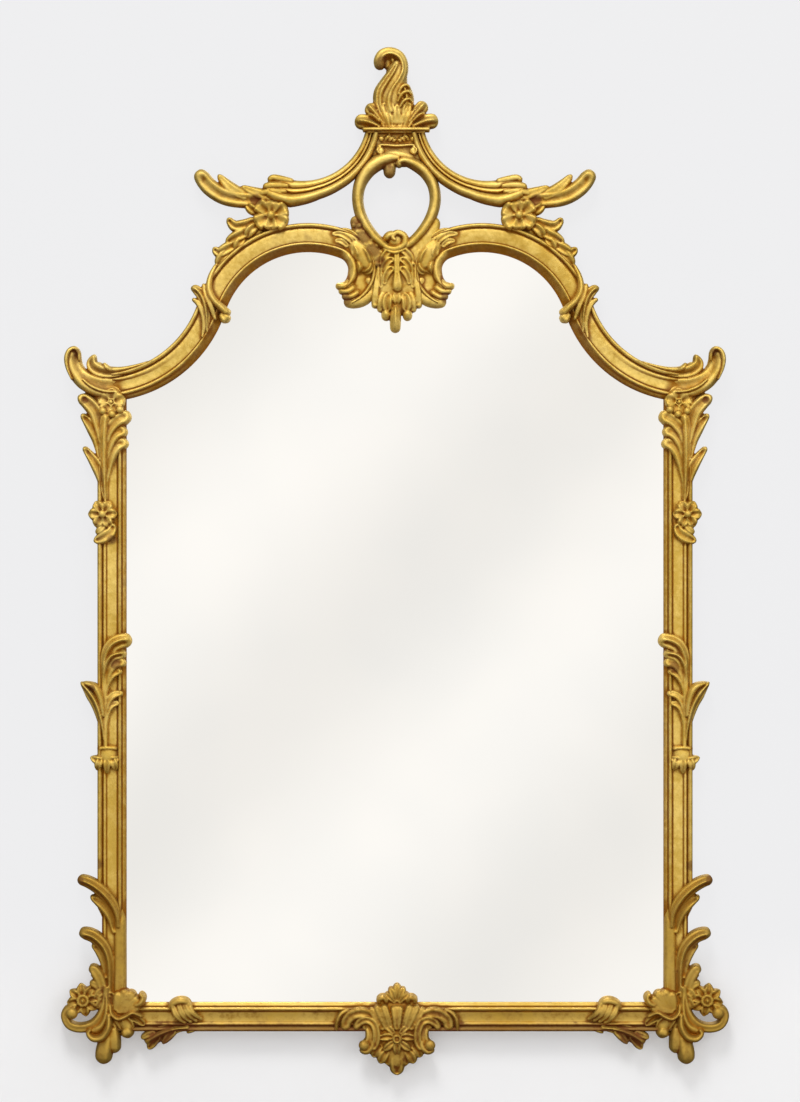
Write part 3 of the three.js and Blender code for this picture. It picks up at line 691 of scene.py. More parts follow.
# %% Arch strap and flower trail
def strap(bm):
    stroke(bm, [(216, 264, 2, 18), (210.5, 276, 3, 22), (208.8, 288, 3.4, 25), (213, 299, 3.8, 26),
                (222, 308, 4.2, 25.5), (229, 315, 5, 23)], back=PLATE_FRONT, tips=(1, 0.8))
    stroke(bm, [(220, 313, 3, 23), (225.5, 318.5, 5.6, 26), (228, 322, 4, 23)],
           back=PLATE_FRONT, hollow=0.2)
    stroke(bm, [(190.5, 287, 3, 20), (197, 290, 5, 24), (203.5, 300, 4.6, 26),
                (206.5, 316, 3.6, 23),
                (207, 333, 1.6, 18)], back=PLATE_FRONT, hollow=0.34, flutes=2, tips=(1.2, 1))
    strokes(bm, [
        [(192, 298, 2, 20), (199.5, 305, 3.2, 23), (204, 320, 2.8, 22), (202, 338, 1.4, 18)],
        [(203, 283, 2, 20), (206, 294, 3, 25), (211.5, 308, 3, 25), (215.5, 320, 1.8, 19)],
    ], back=PLATE_FRONT, hollow=0.2)


SQUARE_U, SQUARE_V = 271, 214.8
SQUARE_PETAL = [(0.15, 0.45, 22.5), (0.55, 0.95, 26), (0.85, 1.0, 28), (1.0, 0.8, 25.5)]


def flower_trail(bm):
    strokes(bm, [
        [(262, 232, 6, 15), (268, 216, 14, 17), (272, 198, 12, 17)],
        [(264, 226, 9, 15), (246, 234, 10, 15), (229, 247, 9, 14.5)],
    ], back=5, tips=(1, 1))
    for angle, far, half in [(-140, 19, 8.4), (-78, 15, 8.6), (-25, 18.5, 9), (33, 19, 8.6),
                             (90, 15.5, 8.6), (150, 19, 8.4)]:
        ray_u, ray_v = math.cos(math.radians(angle)), math.sin(math.radians(angle))
        points = [
            (SQUARE_U + ray_u * reach * far, SQUARE_V + ray_v * reach * far, wide * half, front)
            for reach, wide, front in SQUARE_PETAL
        ]
        stroke(bm, points, back=9, hollow=0.3, tips=(0.5, 0.6), round_off=(3, 3))
    ball(bm, SQUARE_U, SQUARE_V, 4, 28)
    strokes(bm, [
        [(258, 212, 5, 23), (251, 208, 5.6, 26), (246, 202.5, 3.6, 23)],
        [(256, 219, 5, 22), (246, 224, 6.2, 26), (235, 225.5, 6.2, 26), (227, 217.5, 3, 23)],
        [(258, 224, 5, 22), (250, 230, 6.2, 26), (246, 238, 4, 22)],
        [(250, 228, 5, 21), (241, 234, 6.8, 25), (233, 238, 6.2, 25), (225.5, 243, 3.4, 22)],
        [(244, 236, 4.5, 21), (238, 244, 6.2, 24), (236, 251, 3.8, 20)],
        [(236, 243, 5, 20), (227, 248, 6.8, 24), (219, 252, 5.8, 24), (212.5, 247, 3, 21)],
        [(230, 248, 5, 20), (222, 257, 6.8, 23), (216.5, 266, 3.8, 19)],
    ], back=6, hollow=0.34, lean=0.15, tips=(1, 1.1))


print("arch strap and flower trail drawn")

# %% [markdown]
# Where the arch turns into its scroll, a three-lobed leaf lies over the end of the flat panel
# and a larger torn leaf follows the curve. The scroll ends in a hook with small claws. The web
# that joins the arch to the oval is set with small studs on the left and is plain on the right.

# %% Arch scroll and web
def arch_scroll(bm):
    strokes(bm, [
        [(331, 233.5, 2.4, 18), (341, 234, 4, 21.5), (349.5, 239, 4, 23), (355, 246, 2.8, 20)],
        [(334, 240, 2.2, 18), (342, 241.5, 3.6, 21.5), (348.5, 247, 2.6, 20)],
        [(337, 229.5, 2.4, 18), (348, 231.5, 3.8, 22), (357.5, 238, 4, 23), (362, 244, 2.6, 20)],
    ], back=PLATE_FRONT, hollow=0.34, tips=(1, 1.1))
    stroke(bm, [(350, 240, 6, 19.5), (360, 250, 10.5, 22.6), (365.5, 262, 9.5, 22.6),
                (363, 271, 6, 21)],
           back=PLATE_FRONT)
    strokes(bm, [
        [(352.5, 243, 4.6, 21), (357, 251, 7, 23.8), (357.5, 260, 5.8, 22)],
        [(361, 245.5, 4.6, 22), (368, 254.5, 7.4, 25), (370.5, 265.5, 5.6, 23)],
        [(356.5, 260, 4.6, 21.5), (360, 267, 6.8, 24), (357.5, 273.5, 4, 21)],
        [(372, 262, 3.6, 22.5), (368.5, 269, 5.4, 24.2), (362.5, 272.5, 3.4, 21.5)],
    ], back=PLATE_FRONT, hollow=0.26, flutes=2, tips=(0.9, 1.2), round_off=(2.8, 2.8))
    stroke(bm, [(366, 276, 5, 17.5), (372, 286, 5, 18), (375, 297, 5, 18)], back=PLATE_FRONT)
    strokes(bm, [
        [(353, 279, 4.6, 21), (346.5, 285.2, 5, 23), (340, 286, 4, 22.5), (335.6, 284, 2.6, 20)],
        [(356, 285.5, 3.4, 20), (347.5, 291.2, 3.8, 22.5), (338.2, 290.5, 2.6, 20)],
        [(360, 290.5, 3.2, 20), (350.5, 296.5, 3.6, 22), (341.5, 296, 2.6, 19.5)],
    ], back=PLATE_FRONT, tips=(1, 1))
    roll = [(343.5, 300.5, 5.4, 17.5), (354, 302, 6, 20), (365, 298.5, 6, 20),
            (373.5, 289.5, 4.4, 19)]
    stroke(bm, roll, back=PLATE_FRONT, tips=(1, 1))


STUD_ROWS, STUDS_IN_ROW = (-4.2, 0.6, 5), 7
STUD_RADIUS, STUD_FRONT = 2.5, 21.6
WEB_TOP, WEB_RUN, WEB_ACROSS = np.array([(357, 222.5), (25, 42), (0.83, -0.56)])


def studded_web(bm):
    stroke(bm, [(353, 216, 4.4, 18), (361, 231.5, 8.6, 20.4), (371.5, 248, 9, 21),
                (384, 266, 8, 20.5)],
           back=PLATE_FRONT, tips=(1, 0.5))
    for row, aside in enumerate(STUD_ROWS):
        for k in range(STUDS_IN_ROW):
            share = (k + 0.5 * (row % 2)) / (STUDS_IN_ROW - 0.5)
            u, v = WEB_TOP + WEB_RUN * share + WEB_ACROSS * aside
            radius = STUD_RADIUS + 0.3 * ((k + row) % 2)
            ball(bm, u, v, radius, STUD_FRONT - 0.5 * ((k * 7 + row * 3) % 3))
    smooth = [(437, 217, 4.6, 17.5), (429.5, 232, 9.4, 20), (418.5, 248, 10, 20.5),
              (406.5, 264, 8.5, 20)]
    stroke(bm, smooth, back=PLATE_FRONT, tips=(1, 0.5), round_off=(2.4, 2.8))


print("arch scroll and web drawn")

# %% [markdown]
# Beyond the flower, each arm ends in a horn: a deep flute between two lips that curls up to a
# round tip, with two torn leaf points along its upper edge, and a knot of small curls where
# the thin beads stop.

# %% Arm horn
def horn(bm):
    flute = [(284, 194, 10, 23), (266, 198.5, 9, 24), (246, 199, 8.6, 24.5), (226, 196, 8.8, 25.5),
             (211, 187.5, 8.8, 26.5), (202, 177, 8.2, 26), (199.5, 168.5, 7, 23.5)]
    stroke(bm, flute, back=5, hollow=0.32, lean=0.1, tips=(0.5, 1.0))
    strokes(bm, [
        [(250, 198, 6, 21), (232, 189, 7, 24.2), (217.5, 174, 2.8, 22.5)],
        [(278, 197, 6, 21.5), (259, 193.5, 6.6, 24.2), (240.5, 186, 2.6, 22)],
    ], back=7, hollow=0.2, tips=(1, 1.6))
    strokes(bm, [
        [(294, 181, 3, 19), (281, 178.6, 4, 22.5), (272.5, 177.5, 3.8, 23.5), (268, 181, 2.8, 22)],
        [(290, 185.5, 3, 20.5), (274, 185, 4.4, 24.5), (262.5, 186.5, 3.6, 23.5)],
        [(288, 191, 3, 21.5), (271, 191.5, 4.4, 25), (258.5, 193.5, 3.6, 22.5)],
    ], back=8, hollow=0.1)


print("arm horn drawn")

# %% [markdown]
# In the middle of the crest an open oval stands between the arms. Its rim is a rounded bar
# that comes to a soft point at the foot. A torus would do for a true oval; here two strokes rise
# from the foot, where a small volute hides their ends. The left one runs on over the top, and the
# right one curls in beneath it.

# %% Oval and volute
def oval(bm):
    left = [(393, 250, 4, 22), (382, 243.5, 5.6, 24), (371, 232.5, 5.8, 24.5),
            (362, 217.5, 5.8, 24.5), (357.8, 201, 5.8, 24.5), (359.5, 184.5, 6.4, 25),
            (367, 170.5, 7.6, 26), (378, 161.5, 8.2, 26), (390, 157.4, 7.4, 25),
            (401, 157.5, 4, 23)]
    right = [(399, 250, 4, 22), (410, 243.5, 5.6, 24), (421, 232.5, 5.8, 24.5),
             (430.5, 217.5, 5.8, 24.5), (435.2, 201, 5.8, 24.5), (433.5, 185, 6, 24.5),
             (426, 172, 6.4, 25), (415.5, 164, 6.2, 25.5), (405.5, 160.4, 5, 26),
             (399, 162.5, 3.8, 25.5), (401, 166.5, 2.6, 24)]
    strokes(bm, [left, right], back=4, tips=(0.4, 0.8))
    stroke(bm, [(390, 158, 6, 20), (389.5, 169, 6.4, 22.5), (389.5, 177.6, 4.8, 20.5)],
           back=7, hollow=0.12)


def oval_volute(bm):
    stroke(bm, [(382, 246, 6, 20), (396, 248, 9, 21), (410, 246, 6, 20)], back=6)
    coil = [(376, 236.5, 2.4, 22), (384, 245.5, 3.4, 25), (394.5, 249, 3.6, 26.5),
            (404, 244.5, 3.8, 27), (404.5, 236, 3.8, 27), (397, 232.6, 3.6, 27),
            (392.6, 237.4, 3.2, 26.5), (397, 241.2, 2.4, 25.5)]
    stroke(bm, coil, back=9, hollow=0.1)
    stroke(bm, [(396, 233.5, 4, 25), (389, 235.5, 4.8, 25.5), (384.5, 241, 3.8, 24.5)], back=9)
    ball(bm, 395.5, 240.5, 7.5, 23.5)
    stroke(bm, [(382, 248, 2.4, 22), (394, 252.8, 2.8, 25), (406, 249, 2.4, 23)], back=10)


print("oval drawn")

# %% [markdown]
# The block between the arms is a small pedestal: a thin shelf on top, a carved row, a bar with
# curled ends, and a brow that rounds over on to the oval.

# %% Pedestal block
PEDESTAL_AXIS = 397


def pedestal(bm):
    stroke(bm, [(396.5, 130, 27, 18), (396.5, 142, 25, 18.5), (396.5, 154, 25, 19),
                (396.5, 166, 26, 19)],
           back=4, round_off=(6, 6), tips=(0.1, 0.1))
    shelf = [(362.5, 129.3, 2.2, 26), (380, 129.4, 2.2, 27.5), (412, 129.4, 2.2, 27.5),
             (430, 129.3, 2.2, 26)]
    stroke(bm, shelf, back=6, round_off=(3.4, 3.4), tips=(0.4, 0.4))
    stroke(bm, [(368, 132.3, 1.2, 22), (396, 132.3, 1.4, 23), (425, 132.3, 1.2, 22)],
           back=8, tips=(0.4, 0.4))
    for side in (-1, 1):
        ball(bm, PEDESTAL_AXIS + side * 15.8, 138.6, 2.5, 23)
        strokes(bm, beside(PEDESTAL_AXIS, side, [
            [(12, 141.5, 1.6, 20), (9.5, 137, 2.4, 23), (5.5, 135.2, 1.6, 20.5)],
            [(8.6, 141.8, 1.6, 20), (5.8, 138.8, 2.2, 23), (2.4, 136.4, 1.5, 21)],
            [(5, 142, 1.5, 20), (2.6, 140.4, 1.8, 22.5), (0.4, 138.8, 1.4, 21.5)],
        ]), back=10)
        ball(bm, PEDESTAL_AXIS + side * 16, 150.6, 3.2, 23)
        strokes(bm, beside(PEDESTAL_AXIS, side, [
            [(15, 146.6, 1.5, 22), (19.6, 149, 1.9, 24), (17.5, 153.4, 1.8, 24),
             (13.6, 151.5, 1.2, 22)],
        ]), back=12)
    bar = [(376.5, 147.6, 1.5, 20), (381, 145, 1.8, 22.5), (397, 145.8, 1.8, 23),
           (413, 145, 1.8, 22.5), (417.5, 147.6, 1.5, 20)]
    stroke(bm, bar, back=10)
    brow = [(368, 172, 6, 19.5), (376, 161.5, 7, 22.5), (390, 155, 6.4, 22.5), (403, 155, 6, 21.5),
            (416, 161, 6, 20.5)]
    stroke(bm, brow, back=7, tips=(1, 1))


print("pedestal drawn")

# %% [markdown]
# Under the oval hangs a pendant: an acanthus leaf with a long tongue, ribs to either side, a
# bud of three petals and a finger-like drop that reaches down over the glass.

# %% Pendant
PENDANT_AXIS = 396.8


def pendant(bm):
    ground = [(396, 244, 10, 19.5), (396, 257, 17, 20.5), (396, 271, 20.5, 21.5),
              (396, 288, 23, 21.5), (396, 303, 19.5, 21), (396, 316, 11, 19)]
    stroke(bm, ground, back=PLATE_FRONT, round_off=(3, 3), tips=(0.4, 0.8))
    for side in (-1, 1):
        strokes(bm, beside(PENDANT_AXIS, side, [
            [(2, 249.5, 3, 25.5), (8, 251.5, 4.6, 27.6), (13.5, 257.5, 4.2, 27),
             (15.5, 264.5, 1.8, 24.5)],
            [(2, 258.5, 3, 26), (8, 261, 4.8, 28.4), (13, 267.5, 4.2, 27.4),
             (14.5, 275, 1.8, 24.5)],
            [(2, 267.5, 3, 26.5), (7.5, 270.5, 4.8, 28.8), (11.5, 277.5, 4.2, 27.6),
             (12.5, 285.5, 1.8, 24.5)],
            [(17, 262, 2.4, 24), (17.2, 276, 3, 25.4), (15.6, 289, 2.4, 24)],
        ]), back=PLATE_FRONT, hollow=0.34, tips=(1, 1.6))
        strokes(bm, beside(PENDANT_AXIS, side, [
            [(18, 266, 2.6, 21), (19.5, 279, 3.4, 23.5), (21.5, 294, 4, 24.5), (22, 308, 3.4, 21)],
            [(13, 291, 2.6, 22), (15.5, 297, 3.4, 25), (16.6, 304, 3.6, 25), (16.4, 312, 3, 21)],
        ]), back=PLATE_FRONT, hollow=0.2, tips=(1, 0.9))
        strokes(bm, beside(PENDANT_AXIS, side, [
            [(6, 292.5, 3.6, 25), (9.4, 299, 5.6, 28.5), (9.8, 306, 5.4, 27.5),
             (8.6, 312, 3.4, 24)],
        ]), back=PLATE_FRONT, hollow=0.34, tips=(1.4, 1.0), round_off=(2.8, 2.8))
        strokes(bm, beside(PENDANT_AXIS, side, [
            [(9, 309, 4.2, 21.5), (10.8, 314, 5, 23.5), (9.8, 320.5, 4, 20)],
        ]), back=PLATE_FRONT)
    leaf = [(396.8, 247, 3, 25), (396.8, 257, 3.6, 27.4), (396.8, 268, 3.8, 28.6),
            (397, 278, 3.6, 28.4), (397.3, 286, 3, 27)]
    stroke(bm, leaf, back=PLATE_FRONT, hollow=0.24)
    spoon = [(397, 270, 3, 28.5), (397.2, 278, 4.8, 30), (397.5, 286, 6, 30.5),
             (397.6, 292.5, 5, 28)]
    stroke(bm, spoon, back=PLATE_FRONT, hollow=0.26, tips=(1.4, 0.9))
    stroke(bm, [(396.8, 290, 4.4, 25), (396.8, 298, 5.8, 28.5), (396.8, 306, 3, 26.5)],
           back=PLATE_FRONT, hollow=0.34, tips=(1.4, 1.6))
    finger = [(395.6, 305, 4.4, 25), (395.5, 314, 5.6, 28), (395.3, 324, 5.6, 27),
              (395.3, 332.5, 4.8, 22)]
    stroke(bm, finger, back=PLATE_FRONT, hollow=0.16, flutes=2, tips=(1, 0.9))


print("pendant drawn")

# %% [markdown]
# The finial is a plume that twists as it rises and curls over to the left. Three long fluted
# strands make the twist, and the middle one turns over at the top. Small curls lie on its right
# side, and leaves fan out round its foot on the pedestal's shelf.

# %% Finial
def finial(bm):
    core = [(396, 129, 20, 19), (395.5, 113, 20, 22.5), (393.5, 98, 19.5, 25.5),
            (394, 87, 15.5, 26.5), (396, 77, 11.5, 27), (397, 68, 10.5, 26.5), (397, 59, 8, 24.5)]
    stroke(bm, core, back=5, tips=(0.3, 1))
    left = [(384, 118, 4, 22), (379.5, 103, 6, 25.5), (380.5, 92, 7, 27.5), (386.5, 82, 6.6, 29),
            (392, 74, 6, 30), (396, 66.5, 5, 30.5), (397, 60.5, 3, 29)]
    curl = [(392, 116, 5, 25), (389.5, 102, 6.4, 28), (393, 90, 6.2, 29), (399, 81, 5.4, 29),
            (403.4, 71, 4.8, 28), (402.8, 62, 5.2, 28), (398.5, 55.6, 6, 28), (391, 52.6, 6.4, 28),
            (383.5, 54.5, 6.8, 28), (379.6, 61, 6.2, 27), (381, 69, 4.6, 23.5)]
    flank = [(402, 114, 5.5, 24), (407.5, 102, 6.4, 26), (406.5, 91.5, 6, 26.5),
             (402.5, 83, 4, 26.5)]
    for points, flutes in ((left, 3), (curl, 2), (flank, 2)):
        stroke(bm, points, back=8, hollow=0.15, flutes=flutes, lean=0.2, tips=(1, 1))
    strokes(bm, [
        [(385, 57, 5.4, 19), (387.5, 64, 5, 19), (387.5, 69, 2.8, 18)],
        [(389, 59, 4.4, 20), (396, 60, 4.6, 22)],
    ], back=8)
    strokes(bm, [
        [(397.5, 96, 1.4, 27), (401.5, 88, 2.4, 29), (406.5, 85.6, 2.4, 28),
         (410.3, 88.6, 1.4, 25.6)],
        [(397.2, 103, 1.4, 27), (402, 94.5, 2.8, 29.4), (408.3, 92, 2.8, 28.4),
         (412, 96, 1.6, 25.6)],
        [(399, 109, 1.4, 27), (404, 101.4, 2.6, 29), (409.6, 99.5, 2.4, 27.6),
         (412.4, 103.4, 1.4, 25)],
    ], back=12)


FINIAL_AXIS, SHELF_TOP = 396.8, 129
FINIAL_MIRROR = 793


def finial_leaves(bm):
    stroke(bm, [(397, 129, 17, 23), (397, 117, 19, 25),
                (397, 107, 13, 23.5)], back=8, tips=(0.4, 0.8))
    for tip_u, tip_v, wide, front in [
        (376.5, 108.5, 4.2, 27), (383.5, 102, 4.6, 29), (390.5, 97, 4.4, 30), (403, 96.5, 4.4, 30),
        (410, 102, 4.6, 29), (416, 108, 4.2, 27), (397, 104, 5, 31), (387, 110, 4.6, 30),
        (407, 109.5, 4.6, 30),
    ]:
        root_u = FINIAL_AXIS + 0.5 * (tip_u - FINIAL_AXIS)
        middle = ((root_u + 1.4 * tip_u) / 2.4, (SHELF_TOP + 1.4 * tip_v) / 2.4, wide, front)
        root = (root_u, SHELF_TOP + 0.5, 2.6, 25.5)
        tip = (tip_u, tip_v, 0.3 * wide, front - 2.5)
        stroke(bm, [root, middle, tip], back=8, hollow=0.26, tips=(0.6, 2.2))
    sides = [
        ([(385, 126, 4, 23), (378.5, 117, 5.8, 25.5), (372.5, 110, 6.8, 27),
          (367, 103.8, 6.2, 24.5)],
         2.0),
        ([(382, 128, 4, 23), (374, 124, 6.4, 25.5), (364.5, 121.2, 8, 27),
          (354.4, 120.5, 6.8, 23.5)],
         0.6),
        ([(381, 123, 3.6, 25), (374, 116.5, 4.6, 28), (368, 113.5, 3.4, 25)], 1.0),
    ]
    for left, rise in sides:
        right = [(FINIAL_MIRROR - u, v - rise, half, front) for u, v, half, front in left]
        strokes(bm, [left, right], back=6, hollow=0.26, flutes=2, tips=(1, 0.8))


print("finial drawn")

# %% [markdown]
# The bottom rail carries a shell cartouche: a small shell over the rail's inner edge, a ribbed
# body, C-scrolls to both sides, a flower of seven petals round a boss, and a fluted fan that
# hangs below the rail.

# %% Shell cartouche
SHELL_AXIS = 397
FAN_FOOT, FAN_REACH, FAN_SHORTENS = 1004.5, 20.5, 0.1


def shell(bm):
    stroke(bm, [(397, 998, 14, 20), (397, 1014, 25, 22), (397, 1036, 24, 23.5), (397, 1056, 16, 22),
                (397, 1070, 9, 20)], back=PLATE_FRONT, tips=(0.5, 0.7))
    for angle, wide in [(-46, 3), (-23, 3.4), (0, 4), (23, 3.4), (46, 3)]:
        ray_u, ray_v = math.sin(math.radians(angle)), -math.cos(math.radians(angle))
        far = FAN_REACH - FAN_SHORTENS * abs(angle)
        rib = [(0.1, 1.8, 23), (0.55, wide, 27), (1.0, 0.95 * wide, 24.5)]
        points = [
            (SHELL_AXIS + ray_u * far * share, FAN_FOOT + ray_v * far * share, half, front)
            for share, half, front in rib
        ]
        stroke(bm, points, back=PLATE_FRONT, hollow=0.3, tips=(1, 0.9))
    facet = [(397, 1031, 3.4, 27), (397, 1018, 5.6, 29.5), (397, 1004.5, 7.4, 28)]
    stroke(bm, facet, back=PLATE_FRONT, hollow=0.16, tips=(1, 0.6), round_off=(3, 4))
    half_shell = [
        ([(5.5, 1030, 3.4, 26), (9.8, 1015.5, 4.6, 29.5), (14, 1003.8, 4.4, 27)], 0.18),
        ([(9, 1031, 3.4, 26), (15, 1017, 5, 28.5), (21, 1004.8, 4.4, 26)], 0.18),
        ([(12.5, 1031, 3.4, 25), (20, 1018.5, 5, 27), (27.5, 1007.5, 4, 24)], 0.18),
        ([(60.5, 1032, 2.2, 19), (60, 1022, 2.6, 22.5), (56, 1014, 2.6, 23),
          (47, 1009, 2.2, 20)], 0),
        ([(52, 1032, 5.4, 20), (50.5, 1021, 6.4, 24), (43, 1014.5, 6.6, 26), (33, 1013.5, 6.4, 27),
          (23.5, 1018, 5.4, 27), (17, 1027, 3.4, 26)], 0.34),
        ([(42, 1031, 3.4, 20), (38.5, 1023.5, 4.6, 24.5), (31, 1019.8, 5, 28), (24, 1023, 5, 29.5),
          (20.8, 1031, 5, 30), (21, 1041, 5, 29), (25.5, 1051, 4, 26)], 0.3),
        ([(35, 1029.5, 2.6, 19), (30, 1027, 3.8, 23), (27.5, 1033, 4.4, 26),
          (28.5, 1041, 4.4, 26.5), (34, 1044.5, 4.4, 26)], 0.24),
        ([(24, 1038, 3.4, 24), (25.4, 1047, 4.2, 25.4), (31, 1051.8, 3.6, 25),
          (37.5, 1049.6, 2.6, 24)],
         0),
        ([(15, 1044, 3.4, 24), (20.5, 1050.5, 5.6, 27), (24, 1058, 4.2, 23)], 0.4),
        ([(8.5, 1049, 3.4, 25), (13.8, 1056.5, 5.6, 27.5), (17.4, 1064, 4.2, 23)], 0.4),
        ([(3, 1037, 2.4, 28), (10.5, 1036.5, 5.2, 31), (18.5, 1038, 2.4, 28)], 0.36),
        ([(2.5, 1041, 2.4, 28), (8.5, 1046, 4.8, 30.5), (13.5, 1050.5, 2.4, 27)], 0.3),
        ([(2.5, 1034, 2.2, 27.5), (7.2, 1028.8, 4.2, 30), (11.5, 1025.5, 2.2, 27)], 0.3),
        ([(9, 1003.5, 2.8, 23), (13.5, 997.8, 3.6, 26), (18, 1000, 3.2, 25),
          (16.5, 1004, 2.2, 22)], 0),
    ]
    for side in (-1, 1):
        for line, cut in half_shell:
            strokes(bm, beside(SHELL_AXIS, side, [line]), back=PLATE_FRONT, hollow=cut)
        ball(bm, SHELL_AXIS + side * 15.5, 1002, 5, 21.5)
        ball(bm, SHELL_AXIS + side * 33, 1045, 5.4, 28)
    ball(bm, 397, 1038, 3.8, 30.5)
    ring(bm, 397, 1038, 3.4, 1.6, 32)
    stroke(bm, [(397, 1041.5, 2.6, 28), (397, 1048.5, 5, 31), (397, 1055.5, 2.4, 28)],
           back=9, hollow=0.34, tips=(1, 1.4))
    for tip_u, tip_v, wide in [(386.5, 1065.5, 5.4), (407.5, 1065.5, 5.4), (397, 1076, 8)]:
        aside = tip_u - SHELL_AXIS
        stroke(bm, [
            (SHELL_AXIS + 0.3 * aside, 1048, 3, 25),
            (SHELL_AXIS + 0.75 * aside, 1060, wide, 27.5),
            (tip_u, tip_v, 0.8 * wide, 23.5),
        ], back=7, hollow=0.44, tips=(1, 0.9))


print("shell drawn")

# %% [markdown]
# Carved wood is brushed with many coats of gesso before it is gilded, and the coats run all
# the strokes of the carver into one soft skin. A voxel remesh does the same: it joins the
# overlapping shells into one closed surface, and a little smoothing rounds what it leaves. The
# vertex count is then thinned where the surface is plain.

# %% One skin of gesso
VOXEL = 0.68 * MILLIMETRE
BRUSH_STRENGTH, BRUSH_COATS = 0.5, 1
KEPT_FACES = 0.6


def add_object(name, mesh):
    piece = bpy.data.objects.new(name, mesh)
    bpy.context.scene.collection.objects.link(piece)
    return piece


def to_mesh(bm, name):
    bmesh.ops.scale(bm, vec=(MILLIMETRE,) * 3, verts=bm.verts)
    bmesh.ops.recalc_face_normals(bm, faces=bm.faces)
    mesh = bpy.data.meshes.new(name)
    bm.to_mesh(mesh)
    bm.free()
    return mesh


def gesso_skin(name, carvers):
    bm = bmesh.new()
    for carve in carvers:
        carve(bm)
    rough = add_object(name, to_mesh(bm, name))
    skin = rough.modifiers.new("skin", "REMESH")
    skin.mode, skin.voxel_size = "VOXEL", VOXEL
    brush = rough.modifiers.new("brush", "SMOOTH")
    brush.factor, brush.iterations = BRUSH_STRENGTH, BRUSH_COATS
    thin = rough.modifiers.new("thin", "DECIMATE")
    thin.ratio = KEPT_FACES
    finished = rough.evaluated_get(bpy.context.evaluated_depsgraph_get())
    mesh = bpy.data.meshes.new_from_object(finished)
    mesh.name = name
    rough.modifiers.clear()
    rough.data = mesh
    print(name, len(mesh.polygons), "faces")
    return rough


def other_side(piece, name):
    mesh = piece.data.copy()
    mesh.transform(Matrix.Scale(-1, 4, (1, 0, 0)))
    mesh.flip_normals()
    return add_object(name, mesh)


left_side = gesso_skin("left_side_carving", [
    shoulder, upper_spray, upright_flower, middle_spray, bud_collar,
])
left_foot = gesso_skin("left_foot_carving", [foot_leaves, corner, corner_drops, ribbon])
left_arch = gesso_skin("left_arch_carving", [strap, flower_trail, arch_scroll, horn])
crest = gesso_skin("crest_carving", [
    oval, oval_volute, studded_web, pedestal, pendant, finial, finial_leaves,
])
shell_piece = gesso_skin("shell_carving", [shell])
right_side = other_side(left_side, "right_side_carving")
right_foot = other_side(left_foot, "right_foot_carving")
right_arch = other_side(left_arch, "right_arch_carving")
carvings = [left_side, left_foot, left_arch, crest, shell_piece, right_side, right_foot, right_arch]
rails = add_object("frame_mouldings", to_mesh(mouldings, "frame_mouldings"))
print("mouldings", len(rails.data.polygons), "faces")

# %% [markdown]
# On old gilding the crowns are rubbed and the hollows hold dirt and red clay. To let the finish
# know which is which, each vertex is compared with a smoothed copy of the mesh: where it stands
# proud of the copy it is a crown, where it lies behind it is a hollow. A copy smoothed much
# further finds the broad hollows and deep corners, and these are darkened as painted shade. The
# result is stored as a point attribute, `tone`, which is also lower on faces that look down, as
# painted shade. `rear` marks the faces that look at the wall, and another attribute says how
# brown a piece has turned as a whole. A last one marks the places that hands and dusters have
# rubbed down to the red clay; a browner piece is also rubbed a little all over.

# %% Crowns and hollows
PROUD = 0.75 * MILLIMETRE
# The depth scale of the broad hollows, which are darkened as painted shade.
BROAD_SHADE_DEPTH = 3 * PROUD
NEAR_PASSES, WIDE_PASSES = 12, 50
MIDDLE_TONE, RELIEF_TONE = 0.5, 0.35
AGED = {"side": 0.22, "foot": 0.7, "arch": 0.22, "crest": 0.1, "shell": 0.8}
WORN_PLACES = [
    (389, 172, 9), (382, 63, 9), (356, 224, 9), (364, 237, 10), (373, 250, 10), (381, 262, 8),
    (160, 1036, 18), (630, 1036, 16), (116, 664, 7), (674, 668, 8), (112, 540, 7), (256, 200, 8),
    (536, 200, 8), (345, 300, 9), (447, 298, 8), (76, 352, 5), (714, 352, 5), (84, 400, 5),
    (706, 400, 5), (92, 688, 5), (80, 880, 6), (710, 880, 6), (97, 864, 8), (693, 866, 8),
]
WORN_EDGE = 1.25
# How far faces that look down are darkened, as painted shade.
UNDERSIDE_SHADE, SLOPE_START = 0.45, 0.2
REAR_GAIN, REAR_START = 2, 0.6
RUBBED = 0.38


def read_points(source, name):
    values = np.empty(len(source) * 3)
    source.foreach_get(name, values)
    return values.reshape(-1, 3)


def smoothed(mesh, places, passes):
    edges = np.empty(len(mesh.edges) * 2, int)
    mesh.edges.foreach_get("vertices", edges)
    a, b = edges[0::2], edges[1::2]
    count = len(places)
    near = np.maximum(np.bincount(a, minlength=count) + np.bincount(b, minlength=count), 1)
    for step in range(passes):
        total = np.stack([
            np.bincount(a, places[b, k], count) + np.bincount(b, places[a, k], count)
            for k in range(3)
        ], axis=1)
        places = 0.5 * places + 0.5 * total / near[:, None]
    return places


def store(mesh, name, values):
    layer = mesh.attributes.get(name) or mesh.attributes.new(name, "FLOAT", "POINT")
    layer.data.foreach_set("value", np.ascontiguousarray(values, dtype=np.float32))


def bare_share(places):
    share = np.zeros(len(places))
    for u, v, radius in WORN_PLACES:
        x, z = MILLIMETRE * (SHEET_LEFT + u), MILLIMETRE * (SHEET_TOP - v)
        gap = np.hypot(places[:, 0] - x, places[:, 2] - z)
        share = np.maximum(share, np.clip(WORN_EDGE - gap / (MILLIMETRE * radius), 0, 1))
    return share


def facing_down(normals):
    return np.clip(-normals[:, 2] - SLOPE_START, 0, 1)


def facing_wall(normals):
    return np.clip(REAR_GAIN * normals[:, 1] - REAR_START, 0, 1)


